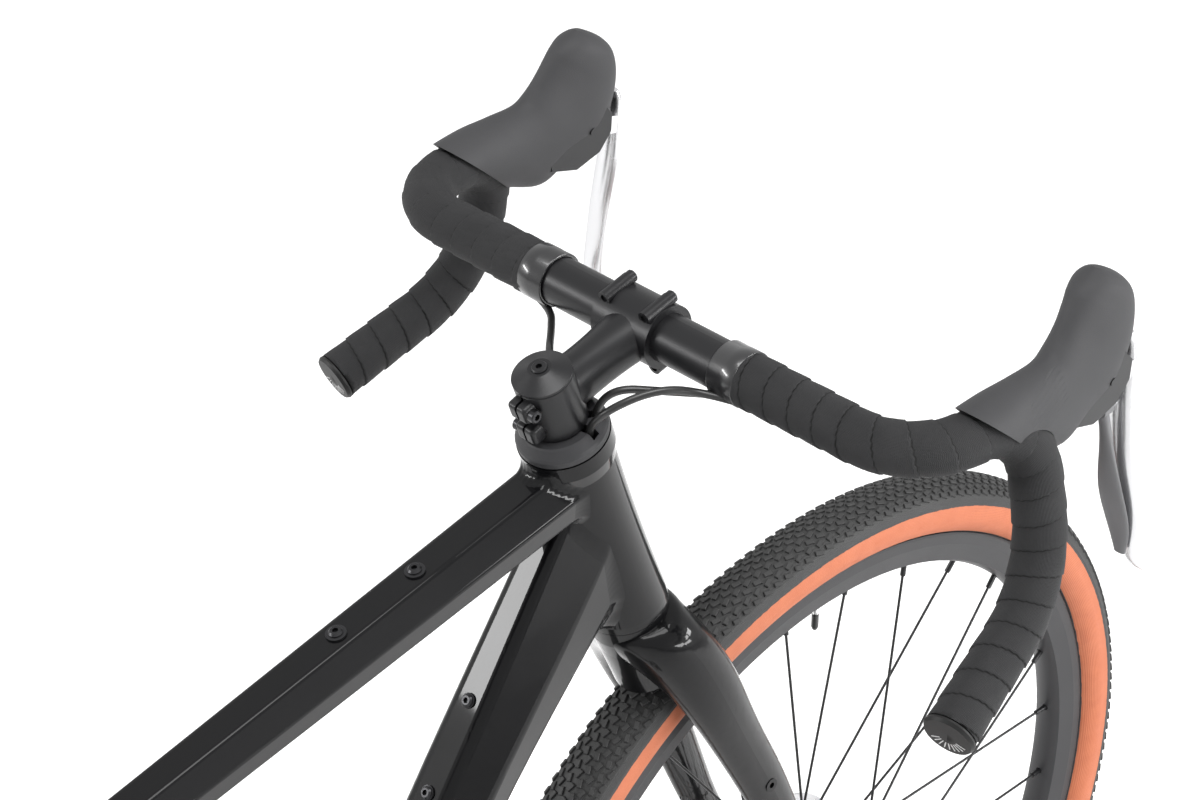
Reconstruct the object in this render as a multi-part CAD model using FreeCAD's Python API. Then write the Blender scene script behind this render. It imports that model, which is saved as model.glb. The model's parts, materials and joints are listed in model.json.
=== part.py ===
import FreeCAD, Part
import math
import os

Vector = FreeCAD.Vector
Rotation = FreeCAD.Rotation
Placement = FreeCAD.Placement

# Whole bike, in millimetres and degrees: x forward, y to the left, z up from the ground
wheelbase = 1042.0
head_angle = 70.5
seat_angle = 73.5
bottom_bracket_drop = 75.0
chainstay_length = 435.0
fork_length = 434.0
fork_rake = 50.0

# Clearances, and the points through which a smooth section is drawn
running_gap = 0.05
body_gap = 0.4
oval_points = 16

# Wheels
tyre_radius = 356.0
tyre_width = 45.0
tyre_wall = 2.8
rim_edge_radius = 317.0
rim_depth = 27.0
rim_width = 29.0
rim_wall = 1.7
bead_seat_depth = 6.0
spoke_count = 28
spoke_crosses = 2
spoke_radius = 1.0
spoke_seat_gap = 0.8
nipple_radius = 2.0
nipple_length = 13.0
nipple_hole_gap = 0.6
flange_thickness = 3.2
flange_rim = 3.5
spoke_circle = 22.0
hub_waist_radius = 13.0
axle_radius = 6.0
spindle_radius = 8.5
front_hub_width = 100.0
rear_hub_width = 142.0
front_flanges = (-33.0, 23.0)
rear_flanges = (-15.5, 33.0)
rotor_radius = 80.0
rotor_thickness = 1.8
rotor_band = 14.0
rotor_arms = 6
front_rotor_place = 37.0
rear_rotor_place = 52.5
valve_radius = 3.0
valve_length = 46.0

# Frame tubes
head_tube_length = 165.0
head_tube_top_radius = 30.0
head_tube_waist_radius = 26.8
head_tube_base_radius = 28.5
head_bearing_radius = 26.0
head_bearing_height = 7.0
head_bearing_bore = 20.0
head_tube_wall = 3.5
tube_wall = 2.0
top_tube_join = 150.5
top_tube_slope = 11.7
top_tube_depth = 42.0
top_tube_width = 46.0
top_tube_rear_depth = 32.0
top_tube_rear_width = 34.0
top_tube_softness = 0.10
top_bolt_reach = 131.0
down_tube_join = 137.5
down_tube_base = 26.0
down_tube_rear_width = 60.0
down_tube_rear_half = 24.5
down_tube_middle_width = 56.0
down_tube_middle_depth = 57.0
down_tube_swell_depth = 62.0
down_tube_neck_width = 52.0
down_tube_neck_depth = 80.0
down_tube_head_width = 46.0
down_tube_softness = 0.16
down_bolt_reach = 163.0
seat_tube_radius = 16.0
seat_tube_length = 540.0
shell_radius = 23.5
shell_width = 73.0
shell_wall = 3.0
cup_flange = 3.0
spindle_tube_radius = 12.0
dropout_thickness = 7.0
dropout_eye = 17.0
boss_spacing = 64.0
boss_hole_radius = 2.1
boss_radius = 5.0
boss_depth = 9.0
seat_boss_height = 190.0
seat_boss_rise = 1.2
fork_boss_depth = 14.0
fork_boss_rise = 0.7
fork_boss_tilt = 4.0

# Steering
steerer_radius = 14.3
steerer_wall = 2.0
crown_gap = 0.8
tyre_clearance = 14.0
fork_leg_gap = 29.0
cover_height = 12.0
cover_radius = 29.5
stem_length = 80.0
stem_drop_angle = 6.0
stem_clamp_height = 40.0
stem_clamp_radius = 19.0
stem_tube_radius = 16.5
bar_clamp_width = 46.0
bar_clamp_wall = 5.0
cap_height = 7.0
bar_radius = 15.9
bar_grip_radius = 12.0
bar_wall = 2.2
bar_clamp_reach = 70.0
bar_taper = 24.0
finish_tape_length = 20.0
tape_radius = 17.0
tape_start_radius = 18.0
tape_step = 0.9
tape_pitch = 19.0
plug_lip = 4.0
hose_radius = 2.5
hose_bend = 36.0

# Handlebar corners on the left side, from the bar's middle, with the bend radius at each
bar_corners = [
    (Vector(0, 216, 0), 48.0),
    (Vector(91.5, 229, 0), 42.0),
    (Vector(91.5, 253, -111), 75.0),
]
bar_end = Vector(-17, 272, -155)

# Drivetrain
chain_pitch = 12.7
roller_radius = 3.88
chain_inner_half = 1.2
chain_plate = 0.75
chain_plate_radius = 4.2
chain_waist = 3.0
chain_pin_radius = 1.8
chain_side_gap = 0.06
tooth_height = 2.8
pulley_tooth_height = 1.8
tooth_thickness = 1.8
chainring_teeth = 40
cassette_teeth = [11, 13, 15, 17, 19, 21, 24, 28, 32, 37, 42]
driven_cog = 4
cog_spacing = 3.9
pulley_teeth = 12
chain_line = 47.0
freehub_radius = 17.0
crank_length = 172.5
crank_inner_face = 60.0
crank_thickness = 13.0
pedal_width = 92.0
pedal_length = 88.0
pedal_thickness = 15.0
pedal_axle_radius = 4.5
cage_length = 66.0
cage_rest = -72.0
cage_plate = 2.0
cage_half_gap = 4.0

# Seat
seatpost_radius = 13.6
seatpost_length = 350.0
seatpost_setback = 20.0
saddle_height = 722.0
saddle_length = 268.0
saddle_width = 146.0
saddle_nose_reach = 150.0
rail_radius = 3.5
rail_half_gap = 20.0

X = Vector(1, 0, 0)
Y = Vector(0, 1, 0)
Z = Vector(0, 0, 1)

front_axle = Vector(wheelbase / 2, 0, tyre_radius)
rear_axle = Vector(-wheelbase / 2, 0, tyre_radius)
bottom_bracket_ahead = math.sqrt(chainstay_length**2 - bottom_bracket_drop**2)
bottom_bracket = rear_axle + Vector(bottom_bracket_ahead, 0, -bottom_bracket_drop)

steer_turn = Rotation(Y, head_angle - 90)
steer_up = steer_turn.multVec(Z)
steer_forward = steer_turn.multVec(X)
fork_drop = math.sqrt(fork_length**2 - fork_rake**2)
crown = front_axle + steer_up * fork_drop - steer_forward * fork_rake
steering = Placement(crown, steer_turn)

seat_turn = Rotation(Y, seat_angle - 90)
seating = Placement(bottom_bracket, seat_turn)
seat_up = seat_turn.multVec(Z)

stem_base = head_tube_length + crown_gap + cover_height
stem_middle = stem_base + stem_clamp_height / 2
bar_place = Vector(
    stem_length * math.cos(math.radians(stem_drop_angle)),
    0,
    stem_middle - stem_length * math.sin(math.radians(stem_drop_angle)),
)
bar_middle = steering.multVec(bar_place)


def save(name, *solids):
    """Write the solids of one node to its own file."""
    shape = solids[0] if len(solids) == 1 else Part.makeCompound(list(solids))
    if not shape.isValid():
        print("not valid:", name)
    print(name, len(shape.Solids), "solids", round(shape.Volume / 1000, 2), "cm3")
    shape.exportStep(os.path.join("parts", name + ".step"))


def placed(shape, placement):
    """A copy of a shape, moved from its own frame to the bike's."""
    moved = shape.copy()
    moved.Placement = placement.multiply(moved.Placement)
    return moved


def moved_to(shape, point):
    """A copy of a shape, shifted by a vector."""
    return placed(shape, Placement(point, Rotation()))


def mirrored(shape):
    """A copy of a shape on the other side of the bike."""
    return shape.mirror(Vector(), Y)


def fused(*shapes):
    """One solid from shapes that touch or overlap."""
    return shapes[0].multiFuse(list(shapes[1:])).removeSplitter()


def largest(shape):
    """The largest solid of a cut shape."""
    return max(shape.Solids, key=lambda solid: solid.Volume)


def outline(points, place):
    """A face from flat points: two numbers are a line's end, four an arc's middle and end."""
    edges = []
    here = points[0]
    for point in points[1:] + points[:1]:
        end = point[-2:]
        if len(point) == 4:
            edges.append(Part.Arc(place(*here), place(*point[:2]), place(*end)).toShape())
        elif math.dist(here, end) > 1e-6:
            edges.append(Part.LineSegment(place(*here), place(*end)).toShape())
        here = end
    return Part.Face(Part.Wire(edges))


def turned_about_z(points):
    """A solid of revolution from radius and height pairs."""
    return outline(points, lambda r, z: Vector(r, 0, z)).revolve(Vector(), Z, 360)


def turned_about_y(points):
    """A solid of revolution from sideways place and radius pairs."""
    return outline(points, lambda y, r: Vector(0, y, r)).revolve(Vector(), Y, 360)


def slab(points, low, high):
    """A plate between two sideways places, from forward and upward pairs."""
    face = outline(points, lambda x, z: Vector(x, low, z))
    return face.extrude(Vector(0, high - low, 0))


def ring(outer, inner, low, high):
    """A ring about the sideways axis."""
    return turned_about_y([(low, inner), (high, inner), (high, outer), (low, outer)])


def rod(start, end, radius):
    """A round bar from one point to another."""
    return Part.makeCylinder(radius, (end - start).Length, start, end - start)


def side_rod(x, z, radius, low, high):
    """A round bar along the sideways axis."""
    return Part.makeCylinder(radius, high - low, Vector(x, low, z), Y)


def capsule(start, end, radius, low, high):
    """A plate with two round ends, between forward and upward pairs."""
    dx = end[0] - start[0]
    dz = end[1] - start[1]
    length = math.hypot(dx, dz)
    ux = dx / length * radius
    uz = dz / length * radius
    points = [
        (start[0] - uz, start[1] + ux),
        (end[0] - uz, end[1] + ux),
        (end[0] + ux, end[1] + uz, end[0] + uz, end[1] - ux),
        (start[0] + uz, start[1] - ux),
        (start[0] - ux, start[1] - uz, start[0] - uz, start[1] + ux),
    ]
    return slab(points, low, high)


def oval_ring(center, along, across, half_across, half_up, start=0.0):
    """Points round an ellipse that is square to a direction."""
    n = Vector(along).normalize()
    a = (across - n * across.dot(n)).normalize()
    u = n.cross(a)
    points = []
    for i in range(oval_points):
        turn = start + 2 * math.pi * i / oval_points
        points.append(center + a * (half_across * math.cos(turn)) + u * (half_up * math.sin(turn)))
    return points


def oval(center, along, across, half_across, half_up):
    """A smooth closed curve like an ellipse, square to a direction, for lofts."""
    curve = Part.BSplineCurve()
    curve.interpolate(oval_ring(center, along, across, half_across, half_up), PeriodicFlag=True)
    return Part.Wire(curve.toShape())


def skinned(rings):
    """A smooth solid over rings of points, for a form that turns a long way."""
    skin = Part.BSplineSurface()
    skin.interpolate([ring + ring[:1] for ring in rings])
    first, last = skin.bounds()[:2]
    ends = [Part.Face(Part.Wire(skin.uIso(place).toShape())) for place in (first, last)]
    shell = Part.makeShell([skin.toShape()] + ends)
    shell.sewShape()
    solid = Part.makeSolid(shell)
    return solid if solid.Volume > 0 else solid.reversed()


def faceted(center, across, up, corners, radius):
    """A closed section with flat sides and rounded corners, given as across and up pairs."""
    points = [center + across * u + up * v for u, v in corners]
    edges = []
    count = len(points)
    cuts = []
    for i, corner in enumerate(points):
        back = (points[i - 1] - corner).normalize()
        ahead = (points[(i + 1) % count] - corner).normalize()
        half = back.getAngle(ahead) / 2
        reach = radius / math.tan(half)
        middle = (back + ahead).normalize()
        nearest = corner + middle * (radius / math.sin(half) - radius)
        cuts.append((corner + back * reach, nearest, corner + ahead * reach))
    for i, (start, middle, end) in enumerate(cuts):
        edges.append(Part.Arc(start, middle, end).toShape())
        edges.append(Part.LineSegment(end, cuts[(i + 1) % count][0]).toShape())
    return Part.Wire(edges)


def loft(wires, ruled=False):
    """A solid through closed sections, smooth or in straight steps."""
    return Part.makeLoft(wires, True, ruled, False, 3)


class Route:
    """Straight runs joined by tangent arcs through given corners."""

    def __init__(self, points, radii):
        self.edges = []
        self.radii = radii
        here = points[0]
        for i, radius in enumerate(radii, start=1):
            back = (points[i - 1] - points[i]).normalize()
            ahead = (points[i + 1] - points[i]).normalize()
            half = back.getAngle(ahead) / 2
            reach = radius / math.tan(half)
            start = points[i] + back * reach
            end = points[i] + ahead * reach
            middle = points[i] + (back + ahead).normalize() * (radius / math.sin(half) - radius)
            if (start - here).Length > 1e-6:
                self.edges.append(Part.LineSegment(here, start).toShape())
            self.edges.append(Part.Arc(start, middle, end).toShape())
            here = end
        self.edges.append(Part.LineSegment(here, points[-1]).toShape())
        self.lengths = [edge.Length for edge in self.edges]
        self.length = sum(self.lengths)

    def at(self, distance):
        """The point and direction at a distance along the route."""
        for edge, length in zip(self.edges, self.lengths):
            if distance <= length or edge is self.edges[-1]:
                parameter = edge.getParameterByLength(min(max(distance, 0.0), length))
                return edge.valueAt(parameter), edge.tangentAt(parameter)
            distance -= length

    def pipe(self, radius):
        """A round tube's outer solid along the whole route."""
        start, direction = self.at(0.0)
        section = Part.Wire(Part.makeCircle(radius, start, direction))
        return Part.Wire(self.edges).makePipeShell([section], True, False)


def routed_hose(name, points, radius):
    """A hose through hand-chosen points, with each bend as large as its runs allow."""
    radii = []
    for before, corner, after in zip(points, points[1:], points[2:]):
        back = before - corner
        ahead = after - corner
        turn = math.pi - back.getAngle(ahead)
        radii.append(min(hose_bend, 0.45 * min(back.Length, ahead.Length) / math.tan(turn / 2)))
    route = Route(points, radii)
    solid = route.pipe(radius)
    share = solid.Volume / (math.pi * radius**2 * route.length)
    print(name, "length", round(route.length, 1), "share", round(share, 3))
    print(name, "radii", [round(r) for r in radii])
    return solid


# Wheels

def rim_profile():
    """Half points of the rim's section, from the tyre's side to the spokes' side."""
    half = rim_width / 2
    lip = 2.2
    edge = rim_edge_radius
    bed = edge - bead_seat_depth
    inner = edge - rim_depth
    outer = [
        (half - lip, bed),
        (half - lip, edge),
        (half - 0.6, edge),
        (half, edge - 1.5),
        (half, bed - 3),
        (half - 3.0, inner + 4),
        (0, inner, -(half - 3.0), inner + 4),
        (-half, bed - 3),
        (-half, edge - 1.5),
        (-(half - 0.6), edge),
        (-(half - lip), edge),
        (-(half - lip), bed),
        (-5.0, bed - 3.0),
        (5.0, bed - 3.0),
    ]
    floor = bed - 3.0 - rim_wall
    cavity = [
        (half - lip - 1.5, floor),
        (half - rim_wall, bed - 3 - rim_wall),
        (half - 3.0 - rim_wall, inner + 4 + rim_wall / 2),
        (0, inner + rim_wall, -(half - 3.0 - rim_wall), inner + 4 + rim_wall / 2),
        (-(half - rim_wall), bed - 3 - rim_wall),
        (-(half - lip - 1.5), floor),
    ]
    return outer, cavity


def nipple_angle(index):
    """Turn of a rim hole from the valve, in degrees."""
    return (index + 0.5) * 360.0 / spoke_count


def about_axle(shape, degrees):
    """A copy of a shape turned about the wheel's axis."""
    turned = shape.copy()
    turned.rotate(Vector(), Y, degrees)
    return turned


def make_rim():
    """Hollow box-section rim with spoke holes and a valve hole."""
    outer, cavity = rim_profile()
    rim = turned_about_y(outer).cut(turned_about_y(cavity))
    inner = rim_edge_radius - rim_depth
    drill = Part.makeCylinder(nipple_radius + nipple_hole_gap, 8.0, Vector(0, 0, inner - 4), Z)
    holes = [about_axle(drill, nipple_angle(i)) for i in range(spoke_count)]
    valve_hole = Part.makeCylinder(valve_radius + 0.25, rim_depth + 10, Vector(0, 0, inner - 5), Z)
    return rim.cut(Part.makeCompound(holes + [valve_hole]))


def make_tyre():
    """Open carcass that seats between the rim's hooks, with a squared tread."""
    half = tyre_width / 2
    seat = rim_width / 2 - 2.2 - 0.2
    base = rim_edge_radius - bead_seat_depth + 0.3
    edge = rim_edge_radius
    top = tyre_radius
    wall = tyre_wall
    points = [
        (seat, base),
        (seat, edge + 0.4),
        (half - 1.2, edge + 9, half, edge + 19),
        (half - 0.6, top - 12),
        (half - 3.2, top - 7),
        (0, top, -(half - 3.2), top - 7),
        (-(half - 0.6), top - 12),
        (-half, edge + 19),
        (-(half - 1.2), edge + 9, -seat, edge + 0.4),
        (-seat, base),
        (-seat + wall, base),
        (-seat + wall, edge + 1),
        (-(half - 1.2 - wall), edge + 10, -(half - wall), edge + 19),
        (-(half - 6), top - 9),
        (0, top - 5, half - 6, top - 9),
        (half - wall, edge + 19),
        (half - 1.2 - wall, edge + 10, seat - wall, edge + 1),
        (seat - wall, base),
    ]
    return turned_about_y(points)


def make_hub(flanges, width, drive_end):
    """Hub shell with two drilled flanges, a rotor seat on the left and bearing bores."""
    right, left = flanges
    t = flange_thickness / 2
    flange = spoke_circle + flange_rim
    neck = hub_waist_radius
    left_end = width / 2 - 8.0
    bore = spindle_radius + running_gap
    points = [
        (drive_end, bore),
        (drive_end, neck + 2),
        (right - t, neck + 3),
        (right - t, flange),
        (right + t, flange),
        (right + t, neck + 5),
        (right + 9, neck),
        (left - 9, neck),
        (left - t, neck + 5),
        (left - t, flange),
        (left + t, flange),
        (left + t, neck + 4),
        (left_end, neck + 4),
        (left_end, bore),
    ]
    shell = turned_about_y(points)
    drills = []
    for place, shift in ((right, 0.5), (left, 0.0)):
        for i in range(spoke_count // 2):
            hole = side_rod(0, spoke_circle, spoke_radius + 0.25, place - t - 1, place + t + 1)
            drills.append(about_axle(hole, hub_hole_angle(i, shift)))
    return shell.cut(Part.makeCompound(drills))


def hub_hole_angle(index, shift):
    """Turn of a flange hole, in degrees; the right flange is half a step round from the left."""
    return (index + shift) * 720.0 / spoke_count + nipple_angle(0)


def wheel_point(radius, degrees, y):
    """A point of a wheel at its own centre, by radius and turn."""
    turn = math.radians(degrees)
    return Vector(radius * math.sin(turn), y, radius * math.cos(turn))


def make_spoke(flange_place, outward, lean, shift):
    """One spoke: a head and elbow through the flange, a straight wire and its nipple at the rim."""
    step = 360.0 / spoke_count
    rim_turn = nipple_angle(0) + shift * 2 * step
    hub_turn = rim_turn + lean * spoke_crosses * 2 * step
    face = flange_place + outward * (flange_thickness / 2 + spoke_radius + spoke_seat_gap)
    head = flange_place - outward * (flange_thickness / 2 + 0.2)
    elbow = wheel_point(spoke_circle, hub_turn, face)
    inner = rim_edge_radius - rim_depth
    seat = wheel_point(inner + rim_wall + 0.8, rim_turn, 0)
    along = (seat - elbow).normalize()
    nipple_start = seat - along * nipple_length
    wire = rod(elbow, seat, spoke_radius)
    shank = rod(wheel_point(spoke_circle, hub_turn, head), elbow, spoke_radius)
    cap = Part.makeCylinder(2.0, 1.2, wheel_point(spoke_circle, hub_turn, head), Vector(0, -outward, 0))
    bend = Part.makeSphere(spoke_radius, elbow)
    nipple = rod(nipple_start, seat, nipple_radius)
    nipple_head = Part.makeCylinder(nipple_radius + 1.0, 2.4, seat + along * 0.4, along)
    nipple_neck = rod(seat, seat + along * 0.4, nipple_radius)
    return fused(wire, shank, cap, bend, nipple, nipple_neck, nipple_head)


def make_spokes(flanges):
    """Every spoke of a wheel, crossed on both sides."""
    right, left = flanges
    kinds = []
    for place, side, shift in ((left, 1, 0.0), (right, -1, 0.5)):
        kinds.append(make_spoke(place, side, 1, shift))
        kinds.append(make_spoke(place, -side, -1, shift + 1.0))
    turns = [i * 4 * 360.0 / spoke_count for i in range(spoke_count // 4)]
    return [about_axle(kind, turn) for turn in turns for kind in kinds]


def make_rotor(place, hub_radius):
    """Drilled brake band on slanted arms, with a locked carrier at the hub."""
    low = place - rotor_thickness / 2
    high = place + rotor_thickness / 2
    band = ring(rotor_radius, rotor_radius - rotor_band, low, high)
    carrier = ring(hub_radius + 10, hub_radius + running_gap, low - 1.5, high + 1.5)
    arms = []
    for i in range(rotor_arms):
        start = (8.0, hub_radius + 8)
        end = (-14.0, rotor_radius - rotor_band + 3)
        arms.append(about_axle(capsule(start, end, 4.2, low, high), i * 360.0 / rotor_arms))
    drills = []
    for i in range(rotor_arms * 4):
        for turn, radius in ((0.0, rotor_radius - 4.4), (5.0, rotor_radius - 9.6)):
            hole = side_rod(0, radius, 2.1, low - 1, high + 1)
            drills.append(about_axle(hole, turn + i * 90.0 / rotor_arms))
    return fused(band, carrier, *arms).cut(Part.makeCompound(drills))


def make_valve():
    """Slim valve stem with a lock ring and cap, pointing to the axle."""
    seat = rim_edge_radius - rim_depth
    base = rim_edge_radius - bead_seat_depth - 1
    tip = base - valve_length
    points = [
        (0, tip),
        (1.6, tip + 0.6),
        (2.6, tip + 3),
        (2.6, tip + 13),
        (2.2, tip + 14),
        (valve_radius - 0.6, seat - 3.2),
        (5.0, seat - 3.0),
        (5.0, seat - 0.4),
        (valve_radius, seat - 0.3),
        (valve_radius, base - 2),
        (0, base - 2),
    ]
    return turned_about_z(points)


def make_wheel(name, axle, flanges, width, rotor_place, drive_end):
    """Save one wheel's nodes."""
    hub_neck = hub_waist_radius + 4
    save(name + "_rim", moved_to(make_rim(), axle))
    save(name + "_tyre", moved_to(make_tyre(), axle))
    save(name + "_hub", moved_to(make_hub(flanges, width, drive_end), axle))
    save(name + "_spokes", *[moved_to(spoke, axle) for spoke in make_spokes(flanges)])
    save(name + "_rotor", moved_to(make_rotor(rotor_place, hub_neck), axle))
    save(name + "_valve", moved_to(make_valve(), axle))


def make_thru_axle(width, dropout_end, lever_side):
    """Thru axle with its head, and the hub spindle that it clamps between the dropouts."""
    half = width / 2
    shaft = side_rod(0, 0, axle_radius, -half - dropout_end, half + dropout_end)
    head_low = half + dropout_end if lever_side > 0 else -half - dropout_end - 4
    head = ring(axle_radius + 4, 3.0, head_low, head_low + 4)
    base = ring(axle_radius, 3.0, head_low, head_low + 4)
    spindle = ring(spindle_radius, axle_radius + running_gap, -half + 0.05, half - 0.05)
    return [fused(shaft, head, base), spindle]


# Frame

head_core_radius = head_bearing_radius + running_gap


def head_outer_points():
    """Outer line of the head tube, from base to top."""
    flare = head_tube_length - 22
    return [
        (head_tube_base_radius, 0),
        (head_tube_base_radius, 6),
        (head_tube_waist_radius, head_tube_length * 0.45, head_tube_waist_radius + 0.8, flare),
        (head_tube_top_radius, head_tube_length - 12),
        (head_tube_top_radius, head_tube_length),
    ]


def make_head_tube():
    """Flared head tube with a bearing seat at each end."""
    bore = head_tube_waist_radius - head_tube_wall
    seat = head_bearing_height + 2
    top = head_tube_length
    inner = [
        (head_core_radius, top),
        (head_core_radius, top - seat),
        (bore, top - seat),
        (bore, seat),
        (head_core_radius, seat),
        (head_core_radius, 0),
    ]
    return turned_about_z(head_outer_points() + inner)


def head_block():
    """The head tube without its bore, for coping the tubes that meet it."""
    return turned_about_z([(0, 0)] + head_outer_points() + [(0, head_tube_length)])


def head_point(height):
    """A point of the steering axis above the crown."""
    return crown + steer_up * height


def tube_section(center, up, width, depth, top_share, base_share, shoulder, softness):
    """Faceted tube section: flat top, side creases at the shoulder and a narrower base."""
    half = width / 2
    high = depth / 2
    corners = [
        (half * top_share, high),
        (-half * top_share, high),
        (-half, high * shoulder),
        (-half * 0.86, -high * 0.62),
        (-half * base_share, -high),
        (half * base_share, -high),
        (half * 0.86, -high * 0.62),
        (half, high * shoulder),
    ]
    return faceted(center, Y, up, corners, min(width, depth) * softness)


def hollow(sections, shrink):
    """A tube whose sections are functions of its wall, bored by that wall."""
    return solid_tube(sections).cut(loft([section(shrink) for section in sections]))


def solid_tube(sections):
    """The same tube without its bore."""
    return loft([section(0.0) for section in sections])


top_line = Rotation(Y, -top_tube_slope).multVec(X)
top_normal = Rotation(Y, -top_tube_slope).multVec(Z)
top_front = head_point(top_tube_join)


def seat_crossing(point, direction):
    """Where a line in the bike's plane meets the seat tube's axis: distance along the line."""
    across = Rotation(Y, seat_angle - 90).multVec(X)
    return (bottom_bracket - point).dot(across) / direction.dot(across)


top_rear_reach = seat_crossing(top_front - top_normal * (top_tube_rear_depth / 2), top_line)


def top_section(share, wall):
    """Top tube section at a share of its length from the head tube."""
    depth = top_tube_depth + (top_tube_rear_depth - top_tube_depth) * share
    width = top_tube_width + (top_tube_rear_width - top_tube_width) * share
    center = top_front + top_line * (top_rear_reach * share) - top_normal * (depth / 2)
    inner_width = width - 2 * wall
    inner_depth = depth - 2 * wall
    return tube_section(center, top_normal, inner_width, inner_depth, 0.52, 0.44, 0.18, top_tube_softness)


def top_head_section(wall):
    """Top tube section in the head tube's own plane."""
    center = head_point(top_tube_join - top_tube_depth / 2)
    width = top_tube_width - 2 * wall
    depth = top_tube_depth - 2 * wall
    return tube_section(center, steer_up, width, depth, 0.52, 0.44, 0.18, top_tube_softness)


top_sections = [
    lambda wall: top_head_section(wall),
    lambda wall: top_section(0.2, wall),
    lambda wall: top_section(0.6, wall),
    lambda wall: top_section(1.0, wall),
]


def down_rear_point():
    """The end of the down tube's upper line, above the bottom bracket."""
    along = (head_point(down_tube_join) - bottom_bracket).normalize()
    return bottom_bracket + along.cross(Y) * down_tube_rear_half


down_front = head_point(down_tube_join)
down_rear = down_rear_point()
down_line = (down_front - down_rear).normalize()
down_normal = down_line.cross(Y)
down_length = (down_front - down_rear).Length


def down_section(share, width, depth, wall):
    """Down tube section at a share of its upper line from the bottom bracket."""
    center = down_rear + down_line * (down_length * share) - down_normal * (depth / 2)
    inner_width = width - 2 * wall
    inner_depth = depth - 2 * wall
    return tube_section(center, down_normal, inner_width, inner_depth, 0.5, 0.5, 0.12, down_tube_softness)


def down_head_section(wall):
    """Down tube section in the head tube's own plane."""
    center = head_point((down_tube_join + down_tube_base) / 2)
    width = down_tube_head_width - 2 * wall
    depth = down_tube_join - down_tube_base - 2 * wall
    return tube_section(center, steer_up, width, depth, 0.5, 0.5, 0.12, down_tube_softness)


down_sections = [
    lambda wall: down_section(0.0, down_tube_rear_width, 2 * down_tube_rear_half, wall),
    lambda wall: down_section(0.5, down_tube_middle_width, down_tube_middle_depth, wall),
    lambda wall: down_section(0.72, down_tube_middle_width, down_tube_swell_depth, wall),
    lambda wall: down_section(0.86, down_tube_neck_width, down_tube_neck_depth, wall),
    lambda wall: down_head_section(wall),
]


def seat_point(height):
    """A point of the seat tube's axis above the bottom bracket."""
    return bottom_bracket + seat_up * height


def stay(points, sizes):
    """One stay lofted through oval sections, each square to its neighbours' chord."""
    wires = []
    last = len(points) - 1
    for i, (point, (wide, tall)) in enumerate(zip(points, sizes)):
        along = points[min(i + 1, last)] - points[max(i - 1, 0)]
        wires.append(oval(point, along, Y, wide, tall))
    return loft(wires)


chainstay_points = [
    bottom_bracket + Vector(-8, 20, 0),
    bottom_bracket + Vector(-78, 34.5, 9),
    bottom_bracket + Vector(-155, 41, 25),
    bottom_bracket + Vector(-300, 60, 53),
    rear_axle + Vector(26, 74.5, -3),
]
chainstay_sizes = [(8.5, 19), (8.2, 16), (8.5, 13), (8.5, 10), (7.0, 9.0)]
seatstay_points = [
    rear_axle + Vector(10, 74.5, 24),
    rear_axle + Vector(100, 63, 130),
    rear_axle + Vector(190, 41, 236),
    rear_axle + Vector(246, 32, 301),
    seat_point(452) + Vector(-4, 12, 0),
]
seatstay_sizes = [(6.5, 8), (7, 8), (7, 9), (7, 9.5), (7, 10)]


def dropout_plate():
    """Left dropout: an axle eye with tabs for both stays and a rack eyelet."""
    low = rear_hub_width / 2
    high = low + dropout_thickness
    eye = side_rod(0, 0, dropout_eye, low, high)
    to_chainstay = capsule((0, 0), (48, -7), 8.0, low, high)
    to_seatstay = capsule((0, 0), (28, 44), 7.5, low, high)
    eyelet = capsule((0, 10), (-22, 20), 6.0, low, high)
    plate = fused(eye, to_chainstay, to_seatstay, eyelet)
    holes = [
        side_rod(0, 0, axle_radius + running_gap, low - 1, high + 1),
        side_rod(-22, 20, boss_hole_radius, low - 1, high + 1),
    ]
    return moved_to(plate.cut(Part.makeCompound(holes)), rear_axle)


hanger_hole = (-6.0, -28.0)


def make_hanger():
    """Replaceable hanger outside the right dropout, with the derailleur's bolt hole."""
    low = -rear_hub_width / 2 - dropout_thickness - 6
    high = -rear_hub_width / 2 - dropout_thickness
    eye = side_rod(0, 0, 13.0, low, high)
    tab = capsule((0, 0), hanger_hole, 8.5, low, high)
    holes = [
        side_rod(0, 0, axle_radius + running_gap, low - 1, high + 1),
        side_rod(hanger_hole[0], hanger_hole[1], 5.0, low - 1, high + 1),
    ]
    return moved_to(fused(eye, tab).cut(Part.makeCompound(holes)), rear_axle)


def bolt_at(surface, normal, collar, head, depth=boss_depth):
    """A low button bolt with a hexagon socket, standing on a collar ring."""
    frame = Placement(surface, Rotation(Z, normal))
    points = [(0, -depth), (boss_hole_radius, -depth), (boss_hole_radius, 0), (collar, 0)]
    points += [(collar, 1.2), (head, 1.4), (head, 2.2), (head - 1.2, 3.4), (0, 3.4)]
    body = turned_about_z(points)
    socket = outline(
        [(2.0 * math.cos(i * math.pi / 3), 2.0 * math.sin(i * math.pi / 3)) for i in range(6)],
        lambda x, y: Vector(x, y, 1.2),
    ).extrude(Vector(0, 0, 4))
    return placed(body.cut(socket), frame)


def boss_drill(surface, normal, radius, depth):
    """The hole of a boss, from just outside a tube's surface inwards."""
    return Part.makeCylinder(radius, depth + 3, surface + normal * 2.0, normal * -1)


boss_pair = (0.0, boss_spacing)
top_bolt_points = [top_front - top_line * (top_bolt_reach + d) for d in boss_pair]
down_bolt_points = [down_front - down_line * (down_bolt_reach + d) for d in boss_pair]
seat_forward = seat_turn.multVec(X)
seat_boss_points = [seat_point(seat_boss_height + d) + seat_forward * seat_tube_radius for d in boss_pair]


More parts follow.
